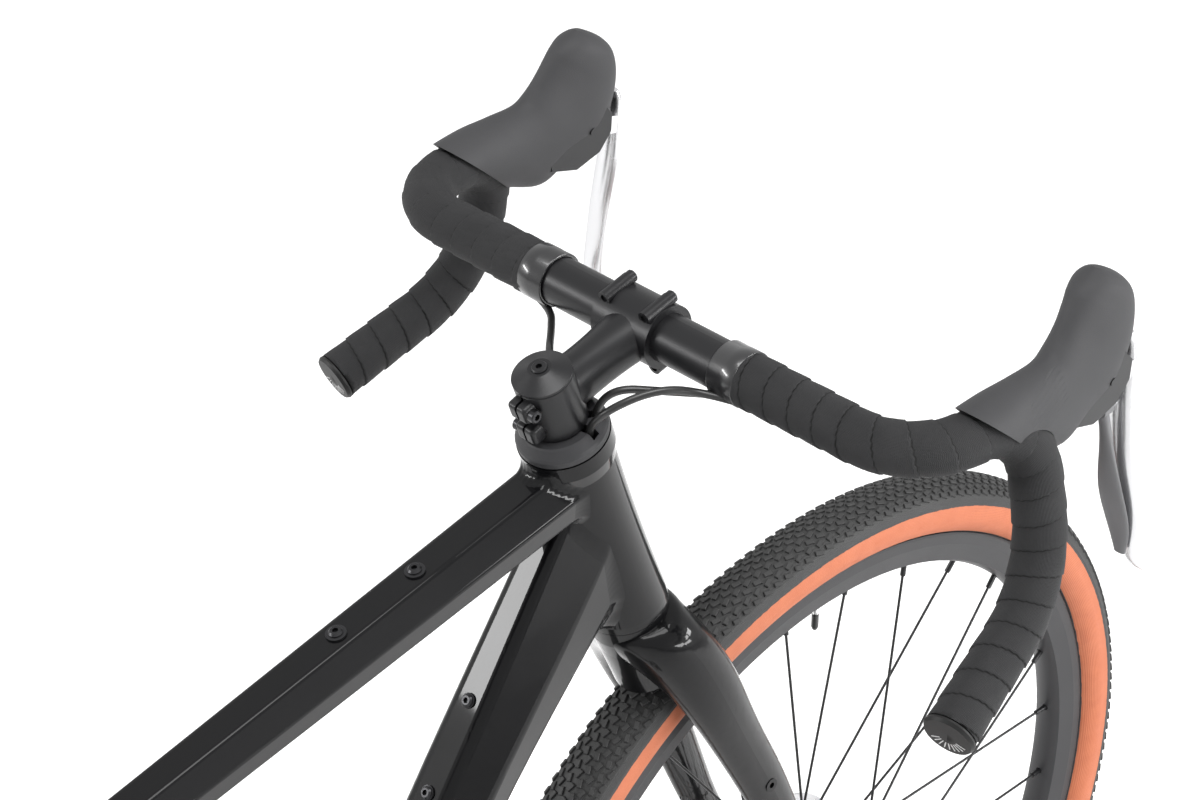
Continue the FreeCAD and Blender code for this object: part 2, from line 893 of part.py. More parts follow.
def make_frame():
    """Save the frame's tubes and the pieces fixed to them."""
    head = placed(make_head_tube(), steering)
    head_solid = placed(head_block(), steering)
    shell = ring(shell_radius, shell_radius - shell_wall, -shell_width / 2, shell_width / 2)
    shell = moved_to(shell, bottom_bracket)
    shell_solid = moved_to(side_rod(0, 0, shell_radius, -shell_width / 2, shell_width / 2), bottom_bracket)
    seat_core = Part.makeCylinder(seat_tube_radius, seat_tube_length)
    seat_solid = placed(seat_core, seating)
    bore = Part.makeCylinder(seatpost_radius + running_gap, seat_tube_length + 1)
    seat_holes = [boss_drill(p, seat_forward, boss_hole_radius, tube_wall + 6) for p in seat_boss_points]
    bosses = [
        Part.makeCylinder(boss_radius, boss_depth - 4, p + seat_forward * seat_boss_rise, seat_forward * -1)
        for p in seat_boss_points
    ]
    seat_tube = fused(seat_solid, *bosses).cut(placed(bore, seating)).cut(Part.makeCompound(seat_holes))
    seat_tube = seat_tube.cut(shell_solid)
    top_holes = [boss_drill(p, top_normal, boss_hole_radius, boss_depth) for p in top_bolt_points]
    top_tube = hollow(top_sections, tube_wall).cut(head_solid).cut(seat_solid)
    top_tube = top_tube.cut(Part.makeCompound(top_holes))
    top_solid = solid_tube(top_sections)
    down_holes = [boss_drill(p, down_normal, boss_hole_radius, boss_depth) for p in down_bolt_points]
    down_tube = hollow(down_sections, tube_wall).cut(head_solid).cut(shell_solid)
    down_tube = down_tube.cut(seat_solid).cut(top_solid)
    down_tube = down_tube.cut(Part.makeCompound(down_holes))
    save("head_tube", head)
    save("top_tube", largest(top_tube))
    save("down_tube", largest(down_tube))
    save("seat_tube", largest(seat_tube))
    save("bottom_bracket_shell", shell)
    left_dropout = dropout_plate()
    chainstay = stay(chainstay_points, chainstay_sizes).cut(shell_solid).cut(left_dropout)
    chainstay = largest(chainstay.cut(seat_solid).cut(solid_tube(down_sections)))
    seatstay = stay(seatstay_points, seatstay_sizes).cut(seat_solid)
    seatstay = largest(seatstay.cut(left_dropout).cut(chainstay))
    bridge_point = seatstay_points[3] - Vector(10, 0, 12)
    bridge = side_rod(bridge_point.x, bridge_point.z, 6.0, -bridge_point.y, bridge_point.y)
    bridge = largest(bridge.cut(seatstay).cut(mirrored(seatstay)))
    lines = make_rear_lines()
    left_stay = largest(chainstay.cut(lines[0]))
    save("chainstays", left_stay, largest(mirrored(chainstay).cut(lines[1])))
    save("rear_lines", *lines)
    save("rear_caliper", *make_rear_caliper(left_stay))
    save("seatstays", seatstay, mirrored(seatstay), bridge)
    save("dropouts", left_dropout, mirrored(left_dropout))
    save("derailleur_hanger", make_hanger())
    save("seat_collar", placed(make_seat_collar(), seating))
    bolts = [bolt_at(p, top_normal, 6.5, 4.5) for p in top_bolt_points]
    bolts += [bolt_at(p, down_normal, 5.0, 4.2) for p in down_bolt_points]
    seat_bolt_depth = seat_tube_radius + seat_boss_rise - seatpost_radius - body_gap
    for p in seat_boss_points:
        bolts.append(bolt_at(p + seat_forward * seat_boss_rise, seat_forward, 5.0, 4.2, seat_bolt_depth))
    save("frame_bolts", *bolts)
    save("frame_bearings", *make_frame_bearings())
    save("rear_thru_axle", *[moved_to(s, rear_axle) for s in make_rear_axle()])


def make_rear_axle():
    """Rear thru axle, which ends inside the hanger."""
    return make_thru_axle(rear_hub_width, dropout_thickness, 1)


def make_seat_collar():
    """Split clamp at the top of the seat tube, with its bolt."""
    low = seat_tube_length - 14
    high = seat_tube_length + 1.5
    inner = seat_tube_radius
    outer = inner + 4
    lip = seatpost_radius + 0.4
    points = [
        (inner, low),
        (outer, low),
        (outer, high - 0.8),
        (outer - 0.8, high),
        (lip, high),
        (lip, seat_tube_length),
        (inner, seat_tube_length),
    ]
    collar = turned_about_z(points)
    ear = Part.makeBox(14, 16, 12, Vector(-outer - 9, -8, low + 1))
    ear = ear.cut(Part.makeCylinder(inner, 40, Vector(0, 0, low - 5)))
    slit = Part.makeBox(30, 1.6, 30, Vector(-outer - 15, -0.8, low - 5))
    screw = Part.makeCylinder(2.5, 22, Vector(-outer - 4, -11, low + 7), Y)
    return fused(fused(collar, ear).cut(slit), screw)


def make_frame_bearings():
    """Two headset rings and two bottom bracket cups."""
    bore = head_bearing_bore + running_gap
    solids = []
    for low in (1.0, head_tube_length - head_bearing_height - 1.0):
        high = low + head_bearing_height
        points = [(bore, low), (head_bearing_radius, low), (head_bearing_radius, high), (bore, high)]
        solids.append(placed(turned_about_z(points), steering))
    half = shell_width / 2
    seat = shell_radius - shell_wall - running_gap
    hole = spindle_tube_radius + running_gap
    cup = turned_about_y(
        [
            (half - 16, hole),
            (half - 16, seat),
            (half + 0.05, seat),
            (half + 0.05, shell_radius - 0.5),
            (half + cup_flange - 0.8, shell_radius - 0.5),
            (half + cup_flange, shell_radius - 1.5),
            (half + cup_flange, hole),
        ]
    )
    solids += [moved_to(cup, bottom_bracket), moved_to(mirrored(cup), bottom_bracket)]
    return solids


# Brakes

def make_caliper(axle, center, along, out, place, host):
    """Flat caliper astride the rotor: a body on two feet, cut by the rotor's sweep, and its two pads."""
    half_slot = rotor_thickness / 2 + 2.4
    block = loft(
        [
            faceted(center - along * 31, Y, out, [(9, 9), (-8, 9), (-9, -8), (11, -8)], 3.0),
            faceted(center - along * 18, Y, out, [(15, 13), (-11, 13), (-12, -13), (17, -13)], 4.0),
            faceted(center + along * 18, Y, out, [(15, 13), (-11, 13), (-12, -13), (17, -13)], 4.0),
            faceted(center + along * 31, Y, out, [(9, 9), (-8, 9), (-9, -8), (11, -8)], 3.0),
        ],
        ruled=True,
    )
    feet = [rod(center + along * d + Y * 11, center + along * d + Y * 13 - out * 24, 5.0) for d in (-20, 20)]
    sweep = moved_to(side_rod(0, 0, rotor_radius + 1.5, place - half_slot, place + half_slot), axle)
    band = moved_to(side_rod(0, 0, rotor_radius, place - half_slot, place + half_slot), axle)
    turn = Rotation(along, Y, out, "XZY")
    solids = [largest(fused(block, *feet).cut(sweep).cut(host))]
    thickness = half_slot - rotor_thickness / 2 - 0.5
    for side in (1, -1):
        inner = rotor_thickness / 2 + 0.5
        low = inner if side > 0 else -inner - thickness
        pad = Part.makeBox(26, thickness, 17, Vector(-13, low, -11))
        solids.append(placed(pad, Placement(center, turn)).common(band))
    return solids


front_caliper_center = front_axle + steer_up * 64 - steer_forward * 35 + Y * front_rotor_place
chainstay_along = (chainstay_points[3] - chainstay_points[4]).normalize()
rear_caliper_along = Vector(chainstay_along.x, 0, chainstay_along.z).normalize()
rear_caliper_out = rear_caliper_along.cross(Y)
rear_caliper_center = rear_axle + rear_caliper_along * 66 + rear_caliper_out * 26 + Y * rear_rotor_place


def make_front_caliper(fork):
    """Front caliper on the back of the left leg."""
    out = steer_forward * -1
    return make_caliper(front_axle, front_caliper_center, steer_up, out, front_rotor_place, fork)


def make_rear_caliper(chainstay):
    """Rear caliper on top of the left chainstay."""
    return make_caliper(
        rear_axle, rear_caliper_center, rear_caliper_along, rear_caliper_out, rear_rotor_place, chainstay
    )


def make_rear_lines():
    """The rear brake hose and the gear cable where they leave the chainstays."""
    port = rear_caliper_center + rear_caliper_along * 31.3
    brake = [
        port + Vector(72, 4, -40),
        port + Vector(44, 4, -18),
        port + rear_caliper_along * 16,
        port,
    ]
    gear_places = [
        (112, -62, -16),
        (58, -87, -9),
        (-14, -93, 3),
        (-47, -93, -10),
        (-47, -92, -42),
        (-22.6, -90.5, -43),
    ]
    gear = [rear_axle + Vector(*place) for place in gear_places]
    brake_hose = routed_hose("rear brake hose", brake, hose_radius)
    return [brake_hose, routed_hose("gear cable", gear, hose_radius)]


# Steering

fork_end = Vector(fork_rake, front_hub_width / 2 + 7, -fork_drop)
shoulder_places = [
    (Vector(0.3, 3, -7), 25.0, 24.5, 4),
    (Vector(1, 5, -12), 31.0, 27.6, 8),
    (Vector(3.5, 15.5, -28), 31.0, 27.0, 18),
    (Vector(8, 30.5, -50), 22.5, 25.5, 26),
]
leg_places = [
    (Vector(12.5, 40, -80), 14.8, 23.3),
    (Vector(16.5, 44, -120), 11.5, 20.5),
    (Vector(23, 45.5, -175), 10.3, 18.5),
    (Vector(28, 47, -230), 9.5, 17.0),
    (Vector(41, front_hub_width / 2 + 2, -fork_drop + 70), 8.0, 13.0),
    (fork_end + Vector(-1, 0, 10), 5.5, 11.5),
]
fork_boss_places = [Vector(24.5, 46, -192), Vector(30.6, 48, -192 - boss_spacing)]
fork_boss_axis = Rotation(X, fork_boss_tilt).multVec(Y)


def fork_leg():
    """Left fork leg, in the steering frame: a shoulder out of the crown and a blade down to the axle."""
    wires = []
    for place, wide, deep, tilt in shoulder_places:
        wires.append(oval(place, Rotation(X, tilt).multVec(Z * -1), Y, wide, deep))
    last = len(leg_places) - 1
    for i, (place, wide, deep) in enumerate(leg_places):
        before = leg_places[i - 1][0] if i > 0 else shoulder_places[-1][0]
        wires.append(oval(place, leg_places[min(i + 1, last)][0] - before, Y, wide, deep))
    other_side = Part.makeBox(200, 100, 600, Vector(-100, -100, -500))
    return largest(loft(wires).cut(other_side))


def leg_half_width(height):
    """Half width of the fork leg at a height, between its neighbouring sections."""
    for (above, wide, deep), (below, narrow, thin) in zip(leg_places, leg_places[1:]):
        if above.z >= height >= below.z:
            return wide + (narrow - wide) * (above.z - height) / (above.z - below.z)
    return leg_places[-1][1]


def boss_insert(place):
    """A threaded insert's rim on the leg's outer side and its blind hole."""
    surface = place + fork_boss_axis * leg_half_width(place.z)
    mouth = surface + fork_boss_axis * fork_boss_rise
    rim = rod(surface - fork_boss_axis * 3, mouth, boss_radius)
    hole = rod(mouth - fork_boss_axis * fork_boss_depth, mouth + fork_boss_axis * 5, boss_hole_radius)
    print("fork boss", steering.multVec(mouth - fork_boss_axis * (fork_boss_depth / 2)))
    return rim, hole


def make_fork():
    """Tapered steerer, arched crown and two bladed legs with axle eyes and cargo bosses."""
    top = stem_base + stem_clamp_height - 3
    bore = steerer_radius - steerer_wall
    race = head_bearing_bore
    crown_radius = head_tube_base_radius - 0.3
    steerer = turned_about_z(
        [
            (bore, -70),
            (crown_radius - 4.5, -70),
            (crown_radius - 1.6, -28),
            (crown_radius, -14),
            (crown_radius, -crown_gap),
            (race, -crown_gap),
            (race, head_bearing_height + 1.5),
            (steerer_radius + 2.5, head_bearing_height + 14),
            (steerer_radius, head_tube_length * 0.55),
            (steerer_radius, top),
            (bore, top),
        ]
    )
    leg = fork_leg()
    half = front_hub_width / 2
    eye = side_rod(fork_end.x, fork_end.z, 14.0, half, half + 13)
    inserts = [boss_insert(place) for place in fork_boss_places]
    left = fused(leg, eye, *[rim for rim, hole in inserts])
    left = left.cut(Part.makeCompound([hole for rim, hole in inserts]))
    body = fused(left, mirrored(left), steerer)
    arch = side_rod(fork_end.x, fork_end.z, tyre_radius + tyre_clearance, -fork_leg_gap, fork_leg_gap)
    hub_room = side_rod(fork_end.x, fork_end.z, 30.0, -half, half)
    axle_hole = side_rod(fork_end.x, fork_end.z, axle_radius + running_gap, -half - 30, half + 30)
    steerer_bore = Part.makeCylinder(bore, 100, Vector(0, 0, -80), Z)
    return largest(body.cut(arch).cut(hub_room).cut(axle_hole).cut(steerer_bore))


hose_turns = (-80.0, -46.0, 46.0)
hose_circle = steerer_radius + hose_radius + 0.15


def make_headset_cover():
    """Cover cone with a hose port at the front right, and the split ring inside the upper bearing."""
    low = head_tube_length + crown_gap
    high = stem_base - 0.05
    bore = steerer_radius + running_gap
    cone = turned_about_z(
        [
            (bore, low),
            (cover_radius, low),
            (cover_radius, low + 4),
            (cover_radius - 1, low + 6),
            (stem_clamp_radius + 6, high - 1),
            (stem_clamp_radius + 5, high),
            (bore, high),
        ]
    )
    ports = Part.makeCompound([placed(hose_port(), Placement(Vector(), Rotation(Z, t))) for t in hose_turns])
    cover = cone.cut(ports)
    bearing_low = head_tube_length - head_bearing_height - 1.0
    wedge = turned_about_z(
        [
            (bore, bearing_low),
            (head_bearing_bore, bearing_low),
            (head_bearing_bore, low - 0.1),
            (bore, low - 0.1),
        ]
    )
    return [largest(cover), largest(wedge.cut(ports))]


def hose_port():
    """Slanted slot that lets one hose down beside the steerer."""
    width = 2 * hose_radius + 0.8
    low = head_tube_length - 20
    points = [
        (steerer_radius - 1, low),
        (head_bearing_bore + 1, low),
        (head_bearing_bore + 1, head_tube_length - 2),
        (cover_radius + 3, stem_base + 4),
        (steerer_radius + 3.2, stem_base + 4),
        (steerer_radius - 1, head_tube_length - 2),
    ]
    return slab(points, -width / 2, width / 2)


stem_turn = Rotation(Y, stem_drop_angle)
stem_along = stem_turn.multVec(X)
stem_up = stem_turn.multVec(Z)
stem_root = Vector(0, 0, stem_middle)
stem_pinch_heights = (10.5, stem_clamp_height - 10.5)
stem_bolt_radius = 2.5
stem_bolt_head = 4.2
faceplate_bolt_rise = bar_radius + 4.2
faceplate_bolt_side = 17.0


def make_stem():
    """Round stem: split steerer clamp with two bolt ears behind, and half of the bar clamp in front."""
    clamp = turned_about_z(
        [
            (steerer_radius + running_gap, stem_base),
            (stem_clamp_radius - 1, stem_base),
            (stem_clamp_radius, stem_base + 1),
            (stem_clamp_radius, stem_base + stem_clamp_height - 1),
            (stem_clamp_radius - 1, stem_base + stem_clamp_height),
            (steerer_radius + running_gap, stem_base + stem_clamp_height),
        ]
    )
    outer = bar_radius + bar_clamp_wall
    stem_neck = stem_root + stem_along * (stem_length - 12)
    tube = loft(
        [
            oval(stem_root + stem_along * 4, stem_along, Y, stem_tube_radius, stem_tube_radius + 1.5),
            oval(stem_root + stem_along * 34, stem_along, Y, stem_tube_radius - 0.8, stem_tube_radius),
            oval(stem_neck, stem_along, Y, stem_tube_radius + 3, stem_tube_radius),
        ]
    )
    shoulder = rod(bar_place - Y * (bar_clamp_width / 2), bar_place + Y * (bar_clamp_width / 2), outer)
    ears = [
        Part.makeBox(13, 16, 13, Vector(-stem_clamp_radius - 7, -8, stem_base + z))
        for z in (4.0, stem_clamp_height - 17.0)
    ]
    ears = [ear.makeFillet(3.0, ear.Edges) for ear in ears]
    body = fused(clamp, tube, shoulder, *bar_clamp_bridge(), *ears)
    split = Placement(bar_place, Rotation(stem_along, Y, stem_up, "XZY"))
    front_half = placed(Part.makeBox(60, 80, 80, Vector(0.6, -40, -40)), split)
    steer_core = Part.makeCylinder(steerer_radius + running_gap, 200, Vector(0, 0, stem_base - 50))
    slit = Part.makeBox(30, 1.8, stem_clamp_height + 10, Vector(-stem_clamp_radius - 15, -0.9, stem_base - 5))
    bar_core = rod(bar_place - Y * 60, bar_place + Y * 60, bar_radius + running_gap)
    rooms = Part.makeCompound([bar_core, *stem_bolt_holes()])
    return largest(body.cut(front_half).cut(steer_core).cut(slit).cut(rooms))


def bar_clamp_bridge():
    """Four bolt towers of the bar clamp, two above the bar and two below."""
    towers = []
    for up in (1, -1):
        for side in (1, -1):
            center = bar_place + stem_up * (up * faceplate_bolt_rise) + Y * (side * faceplate_bolt_side)
            towers.append(rod(center - stem_along * 11, center + stem_along * 11, 4.6))
    return towers


def stem_bolt_holes():
    """Bolt holes of the bar clamp and the steerer clamp."""
    holes = []
    for up in (1, -1):
        for side in (1, -1):
            center = bar_place + stem_up * (up * faceplate_bolt_rise) + Y * (side * faceplate_bolt_side)
            reach = stem_along * 13
            holes.append(rod(center - reach, center + reach, stem_bolt_radius + running_gap))
            holes.append(rod(center + stem_along * 11, center + stem_along * 20, stem_bolt_head + 0.3))
    for z in stem_pinch_heights:
        center = Vector(-stem_clamp_radius - 2.0, 0, stem_base + z)
        holes.append(rod(center - Y * 12, center + Y * 12, stem_bolt_radius + running_gap))
        holes.append(rod(center + Y * 8, center + Y * 16, stem_bolt_head + 0.3))
        holes.append(rod(center - Y * 8, center - Y * 16, stem_bolt_head + 0.3))
    return holes


def make_faceplate():
    """Front half of the bar clamp, with a window between its bolts."""
    outer = bar_radius + bar_clamp_wall
    shell = rod(bar_place - Y * (bar_clamp_width / 2), bar_place + Y * (bar_clamp_width / 2), outer)
    body = shell.multiFuse(bar_clamp_bridge())
    split = Placement(bar_place, Rotation(stem_along, Y, stem_up, "XZY"))
    back_half = placed(Part.makeBox(60, 80, 80, Vector(-59.4, -40, -40)), split)
    bar_core = rod(bar_place - Y * 60, bar_place + Y * 60, bar_radius + running_gap)
    window = placed(Part.makeBox(40, 16, 20, Vector(0, -8, -10)), split)
    body = body.cut(back_half).cut(bar_core).cut(window)
    return largest(body.cut(Part.makeCompound(stem_bolt_holes())))


def make_stem_bolts():
    """Four clamp bolts and two pinch bolts from opposite sides."""
    bolts = []
    for up in (1, -1):
        for side in (1, -1):
            center = bar_place + stem_up * (up * faceplate_bolt_rise) + Y * (side * faceplate_bolt_side)
            seat = center + stem_along * 11.05
            bolts.append(socket_bolt(seat, stem_along, stem_bolt_radius, stem_bolt_head, 21.0))
    for z, side in zip(stem_pinch_heights, (1, -1)):
        center = Vector(-stem_clamp_radius - 2.0, side * 8.05, stem_base + z)
        bolts.append(socket_bolt(center, Y * side, stem_bolt_radius, stem_bolt_head, 16.0))
    return bolts


def socket_bolt(seat, out, radius, head, length):
    """Cap bolt with a hexagon socket; its head stands out from the seat."""
    points = [(0, -length), (radius, -length), (radius, 0), (head, 0)]
    points += [(head, 3.6), (head - 0.8, 4.4), (0, 4.4)]
    socket = outline(
        [(2.2 * math.cos(i * math.pi / 3), 2.2 * math.sin(i * math.pi / 3)) for i in range(6)],
        lambda x, y: Vector(x, y, 1.6),
    ).extrude(Vector(0, 0, 4))
    return placed(turned_about_z(points).cut(socket), Placement(seat, Rotation(Z, out)))


def make_top_cap():
    """Conical cap on the stem, with its bolt."""
    low = stem_base + stem_clamp_height + 0.05
    bolt = socket_bolt(Vector(0, 0, low + cap_height - 3.0), Z, 3.0, 5.0, 34.0)
    points = [
        (3.0 + running_gap, low),
        (stem_clamp_radius, low),
        (stem_clamp_radius, low + 1.5),
        (7.5, low + cap_height),
        (5.2, low + cap_height),
        (5.2, low + cap_height - 3.05),
        (3.0 + running_gap, low + cap_height - 3.05),
    ]
    return [turned_about_z(points), bolt]


bar_route = Route(
    [bar_middle]
    + [bar_middle + corner for corner, radius in bar_corners]
    + [bar_middle + bar_end],
    [radius for corner, radius in bar_corners],
)
grip_start = bar_clamp_reach + bar_taper
grip_corners = [c for c, r in bar_corners]
grip_points = [bar_middle + p for p in [Y * grip_start] + grip_corners + [bar_end]]
grip_route = Route(grip_points, [radius for corner, radius in bar_corners])


def bar_half(shrink):
    """Left half of the bar: thick middle, taper and bent grip."""
    start = bar_middle - Y * (1.0 if shrink else 0.0)
    middle = rod(start, bar_middle + Y * bar_clamp_reach, bar_radius - shrink)
    taper = Part.makeCone(
        bar_radius - shrink, bar_grip_radius - shrink, bar_taper, bar_middle + Y * bar_clamp_reach, Y
    )
    return fused(middle, taper, grip_route.pipe(bar_grip_radius - shrink))


def make_handlebar():
    """Hollow flared drop bar."""
    outer = fused(bar_half(0.0), mirrored(bar_half(0.0)))
    left = bar_half(bar_wall)
    return outer.cut(left).cut(mirrored(left))


def make_bar_tape():
    """Left tape: a smooth finishing band, then overlapped wraps that step down along the bar."""
    first = bar_clamp_reach + 1.0
    wraps = int((bar_route.length - first - finish_tape_length) / tape_pitch)
    pitch = (bar_route.length - first - finish_tape_length) / wraps
    stations = [(first, tape_start_radius), (first + finish_tape_length - 0.5, tape_start_radius)]
    for i in range(wraps):
        start = first + finish_tape_length + i * pitch
        ease = max(0.0, 1.0 - i / 4.0) * (tape_start_radius - tape_radius)
        for share in (0.0, 0.33, 0.66, 0.97):
            radius = tape_radius + ease - tape_step * (1.0 - share)
            stations.append((start + share * pitch, radius))
    wires = []
    seam = Z
    for distance, radius in stations:
        point, direction = bar_route.at(distance)
        seam = (seam - direction * seam.dot(direction)).normalize()
        circle = Part.Circle(point, direction, radius)
        circle.XAxis = seam
        wires.append(Part.Wire(circle.toShape()))
    return loft(wires, ruled=True).cut(bar_half(0.0))


def make_plug():
    """Left bar end plug: a domed lip over the tape and a stub inside the bar."""
    point, direction = bar_route.at(bar_route.length)
    inner = bar_grip_radius - bar_wall
    points = [
        (0, -22),
        (inner - 0.8, -22),
        (inner - running_gap, -2),
        (inner - running_gap, 0.05),
        (tape_radius, 0.05),
        (tape_radius + 0.2, 1.5),
        (tape_radius - 1.2, plug_lip - 0.4),
        (0, plug_lip),
    ]
    return placed(turned_about_z(points), Placement(point, Rotation(Z, direction)))


# Levers, from the bar's middle on the left side
hood_places = [
    (Vector(38, 223, 0), 19.5, 20.0, 0),
    (Vector(66, 224, 0), 20.0, 22.5, 0),
    (Vector(92, 224, -4), 19.5, 27.0, 5),
    (Vector(118, 223, -8), 18.0, 33.5, 12),
    (Vector(135.5, 222, 0), 17.0, 35.0, 24),
    (Vector(154, 221, 9.5), 17.0, 41.0, 36),
    (Vector(163.5, 220, 25.5), 17.5, 37.5, 47),
    (Vector(167.5, 219, 39.5), 17.5, 31.8, 57),
    (Vector(168.5, 218.5, 51.5), 16.0, 23.5, 66),
    (Vector(167, 218, 59.2), 11.0, 13.8, 70),
    (Vector(163, 218, 64.5), 3.5, 4.0, 72),
]
hood_rear_edge = [(10.4, 46.9), (131.8, -63.5), (60, -140), (-40, -140), (-40, 46.9)]
lever_pivot = Vector(164, 221, -9)
lever_pin_radius = 2.5
lever_pin_half = 16.0
lever_gap = 0.5
lever_half_width = 7.0
lever_root_radius = 6.5
lever_swing_radius = 13.5
bracket_half_width = 14.0


def hood_body(margin):
    """Outer form of the hood, with a margin round it."""
    rings = []
    for place, wide, tall, pitch in hood_places:
        along = Rotation(Y, -pitch).multVec(X)
        rings.append(oval_ring(bar_middle + place, along, Y, wide + margin, tall + margin, math.pi / 2))
    return skinned(rings)


def tape_room():
    """The space that the taped bar takes inside the hood."""
    straight, bend, drop = [bar_middle + corner for corner, radius in bar_corners]
    points = [straight * 0.72 + bend * 0.28, bend, bend * 0.38 + drop * 0.62]
    return Route(points, [bar_corners[1][1]]).pipe(tape_radius + 0.3)


def lever_slot():
    """The slot in which the lever's root swings, open to the front and below."""
    half = lever_half_width + lever_gap
    top = lever_root_radius + 2 * lever_gap
    return moved_to(Part.makeBox(70, 2 * half, 80 + top, Vector(-16, -half, -80)), bar_middle + lever_pivot)


def make_hood():
    """Left rubber hood: a swelling grip that rises to a horn, hollow where the bar passes."""
    behind = moved_to(slab(hood_rear_edge, 0, 2 * bar_end.y), bar_middle)
    pivot = bar_middle + lever_pivot
    pin_holes = rod(pivot - Y * 40, pivot + Y * 40, lever_pin_radius + 0.7)
    hood = hood_body(0.0).cut(behind).cut(tape_room()).cut(bracket_slab(running_gap))
    return largest(hood.cut(lever_slot()).cut(pin_holes))


def bracket_slab(margin):
    """Side outline of the lever bracket's nose, with a margin round it."""
    m = margin
    points = [
        (126 - m, -26 - m),
        (150, -33.5 - m),
        (172 + m, -28 - m),
        (183 + m, -16 - m),
        (184 + m, -2 + m),
        (172 + m, 10 + m),
        (150, 10 + m),
        (126 - m, 4 + m),
    ]
    half = bracket_half_width + m
    return moved_to(slab(points, lever_pivot.y - half, lever_pivot.y + half), bar_middle)


def make_bracket():
    """Left lever bracket: a nose under the hood with a fork for the lever and its pin."""
    body = bracket_slab(0.0)
    body = body.makeFillet(3.0, [e for e in body.Edges if abs(e.tangentAt(e.FirstParameter).y) > 0.99])
    pivot = bar_middle + lever_pivot
    pin = rod(pivot - Y * lever_pin_half, pivot + Y * lever_pin_half, lever_pin_radius)
    body = body.cut(lever_slot()).cut(tape_room())
    return largest(fused(largest(body), pin))


lever_places = [
    (Vector(34, -1, 15), 4.0, 2.5),
    (Vector(35, -1, 3), 6.5, 4.0),
    (Vector(34, 0, -11), 8.0, 5.0),
    (Vector(32.5, 1, -29), 9.0, 5.5),
    (Vector(31.5, 4, -51), 9.0, 5.5),
    (Vector(31, 9, -79), 8.5, 5.0),
    (Vector(33, 15, -107), 8.0, 4.5),
    (Vector(35, 19, -133), 7.5, 6.5),
    (Vector(43, 21.5, -151), 6.0, 5.5),
    (Vector(51, 22.5, -162), 2.5, 2.0),
]


def make_lever():
    """Left brake lever: a curved blade with a root that turns on the bracket's pin."""
    pivot = bar_middle + lever_pivot
    wires = []
    last = len(lever_places) - 1
    for i, (place, wide, deep) in enumerate(lever_places):
        along = lever_places[min(i + 1, last)][0] - lever_places[max(i - 1, 0)][0]
        wires.append(oval(pivot + place, along, Y, wide, deep))
    blade = loft(wires)
    root = moved_to(capsule((0, 0), (31, -9), lever_root_radius, -lever_half_width, lever_half_width), pivot)
    hole = rod(pivot - Y * 20, pivot + Y * 20, lever_pin_radius + running_gap)
    swing_room = rod(pivot - Y * 30, pivot + Y * 30, lever_swing_radius)
    blade = blade.cut(swing_room).cut(hood_body(body_gap)).cut(bracket_slab(body_gap))
    return largest(fused(largest(blade), root).cut(hole))


paddle_pivot = Vector(15, 1, -33)
paddle_pin_radius = 1.6
paddle_barrel = 4.2
paddle_barrel_half = 4.5
paddle_places = [
    (Vector(-1, 0, -2), 3.8, 3.8),
    (Vector(1, 4, -28), 5.5, 3.0),
    (Vector(4, 8, -58), 9.5, 2.6),
    (Vector(9, 12, -83), 9.0, 2.2),
    (Vector(9.5, 16, -104), 4.0, 1.6),
]


def make_paddle():
    """Left-hand shape of the shift paddle behind the brake lever: a barrel on a pin and a broad tail."""
    pivot = bar_middle + lever_pivot + paddle_pivot
    barrel = rod(pivot - X * paddle_barrel_half, pivot + X * paddle_barrel_half, paddle_barrel)
    tail = loft([oval(pivot + place, Z, Y, wide, deep) for place, wide, deep in paddle_places])
    return fused(barrel, tail).cut(rod(pivot - X * 10, pivot + X * 10, paddle_pin_radius + running_gap))


def paddle_pin():
    """The pin behind the lever's blade that carries the paddle."""
    pivot = bar_middle + lever_pivot + paddle_pivot
    return rod(pivot - X * (paddle_barrel_half + 1), pivot + X * 15, paddle_pin_radius)


def hose_path(turn):
    """The first points of a hose, up beside the steerer and out through the cover's port."""
    places = [
        (hose_circle, head_tube_length - 30),
        (hose_circle, head_tube_length + 3.7),
        (hose_circle + 19.0, stem_middle),
    ]
    out = Rotation(Z, turn)
    return [steering.multVec(out.multVec(Vector(r, 0, z))) for r, z in places]


def beside_bar(turn, reach, side, clearance):
    """A point along the bar, turned about it from the front, just clear of the metal."""
    distance = bar_radius_at(reach) + hose_radius + clearance
    angle = math.radians(turn)
    return Vector(distance * math.cos(angle), side * reach, distance * math.sin(angle))


def bar_radius_at(reach):
    """Radius of the bar at a distance from its middle."""
    share = min(max((reach - bar_clamp_reach) / bar_taper, 0.0), 1.0)
    return bar_radius + (bar_grip_radius - bar_radius) * share


hose_loops = {
    hose_turns[0]: (Vector(-42, -56, -2), -140.0, -1),
    hose_turns[1]: (Vector(-28, -50, -14), -95.0, -1),
    hose_turns[2]: (Vector(-28, 50, -16), -110.0, 1),
}


def hose_points(turn):
    """Every corner of one hose, from inside the head tube to under the bar tape."""
    loop, bar_turn, side = hose_loops[turn]
    under_tape = [
        beside_bar(bar_turn, bar_clamp_reach + 2, side, body_gap),
        beside_bar(bar_turn, bar_clamp_reach + bar_taper - 1, side, body_gap),
    ]
    return hose_path(turn) + [bar_middle + p for p in [loop] + under_tape]


def make_control_hoses():
    """Two lines from the right lever and one from the left, down into the headset."""
    return [routed_hose("control hose", hose_points(turn), hose_radius) for turn in hose_turns]


def make_fork_hose():
    """The front brake hose where it leaves the left leg for the caliper."""
    places = [(168, -22, 47.0), (140, -40, 46.0), (116, -37, 38.5), (95.3, -35, front_rotor_place)]
    points = [front_axle + steer_up * up + steer_forward * ahead + Y * side for up, ahead, side in places]
    return routed_hose("fork hose", points, hose_radius)


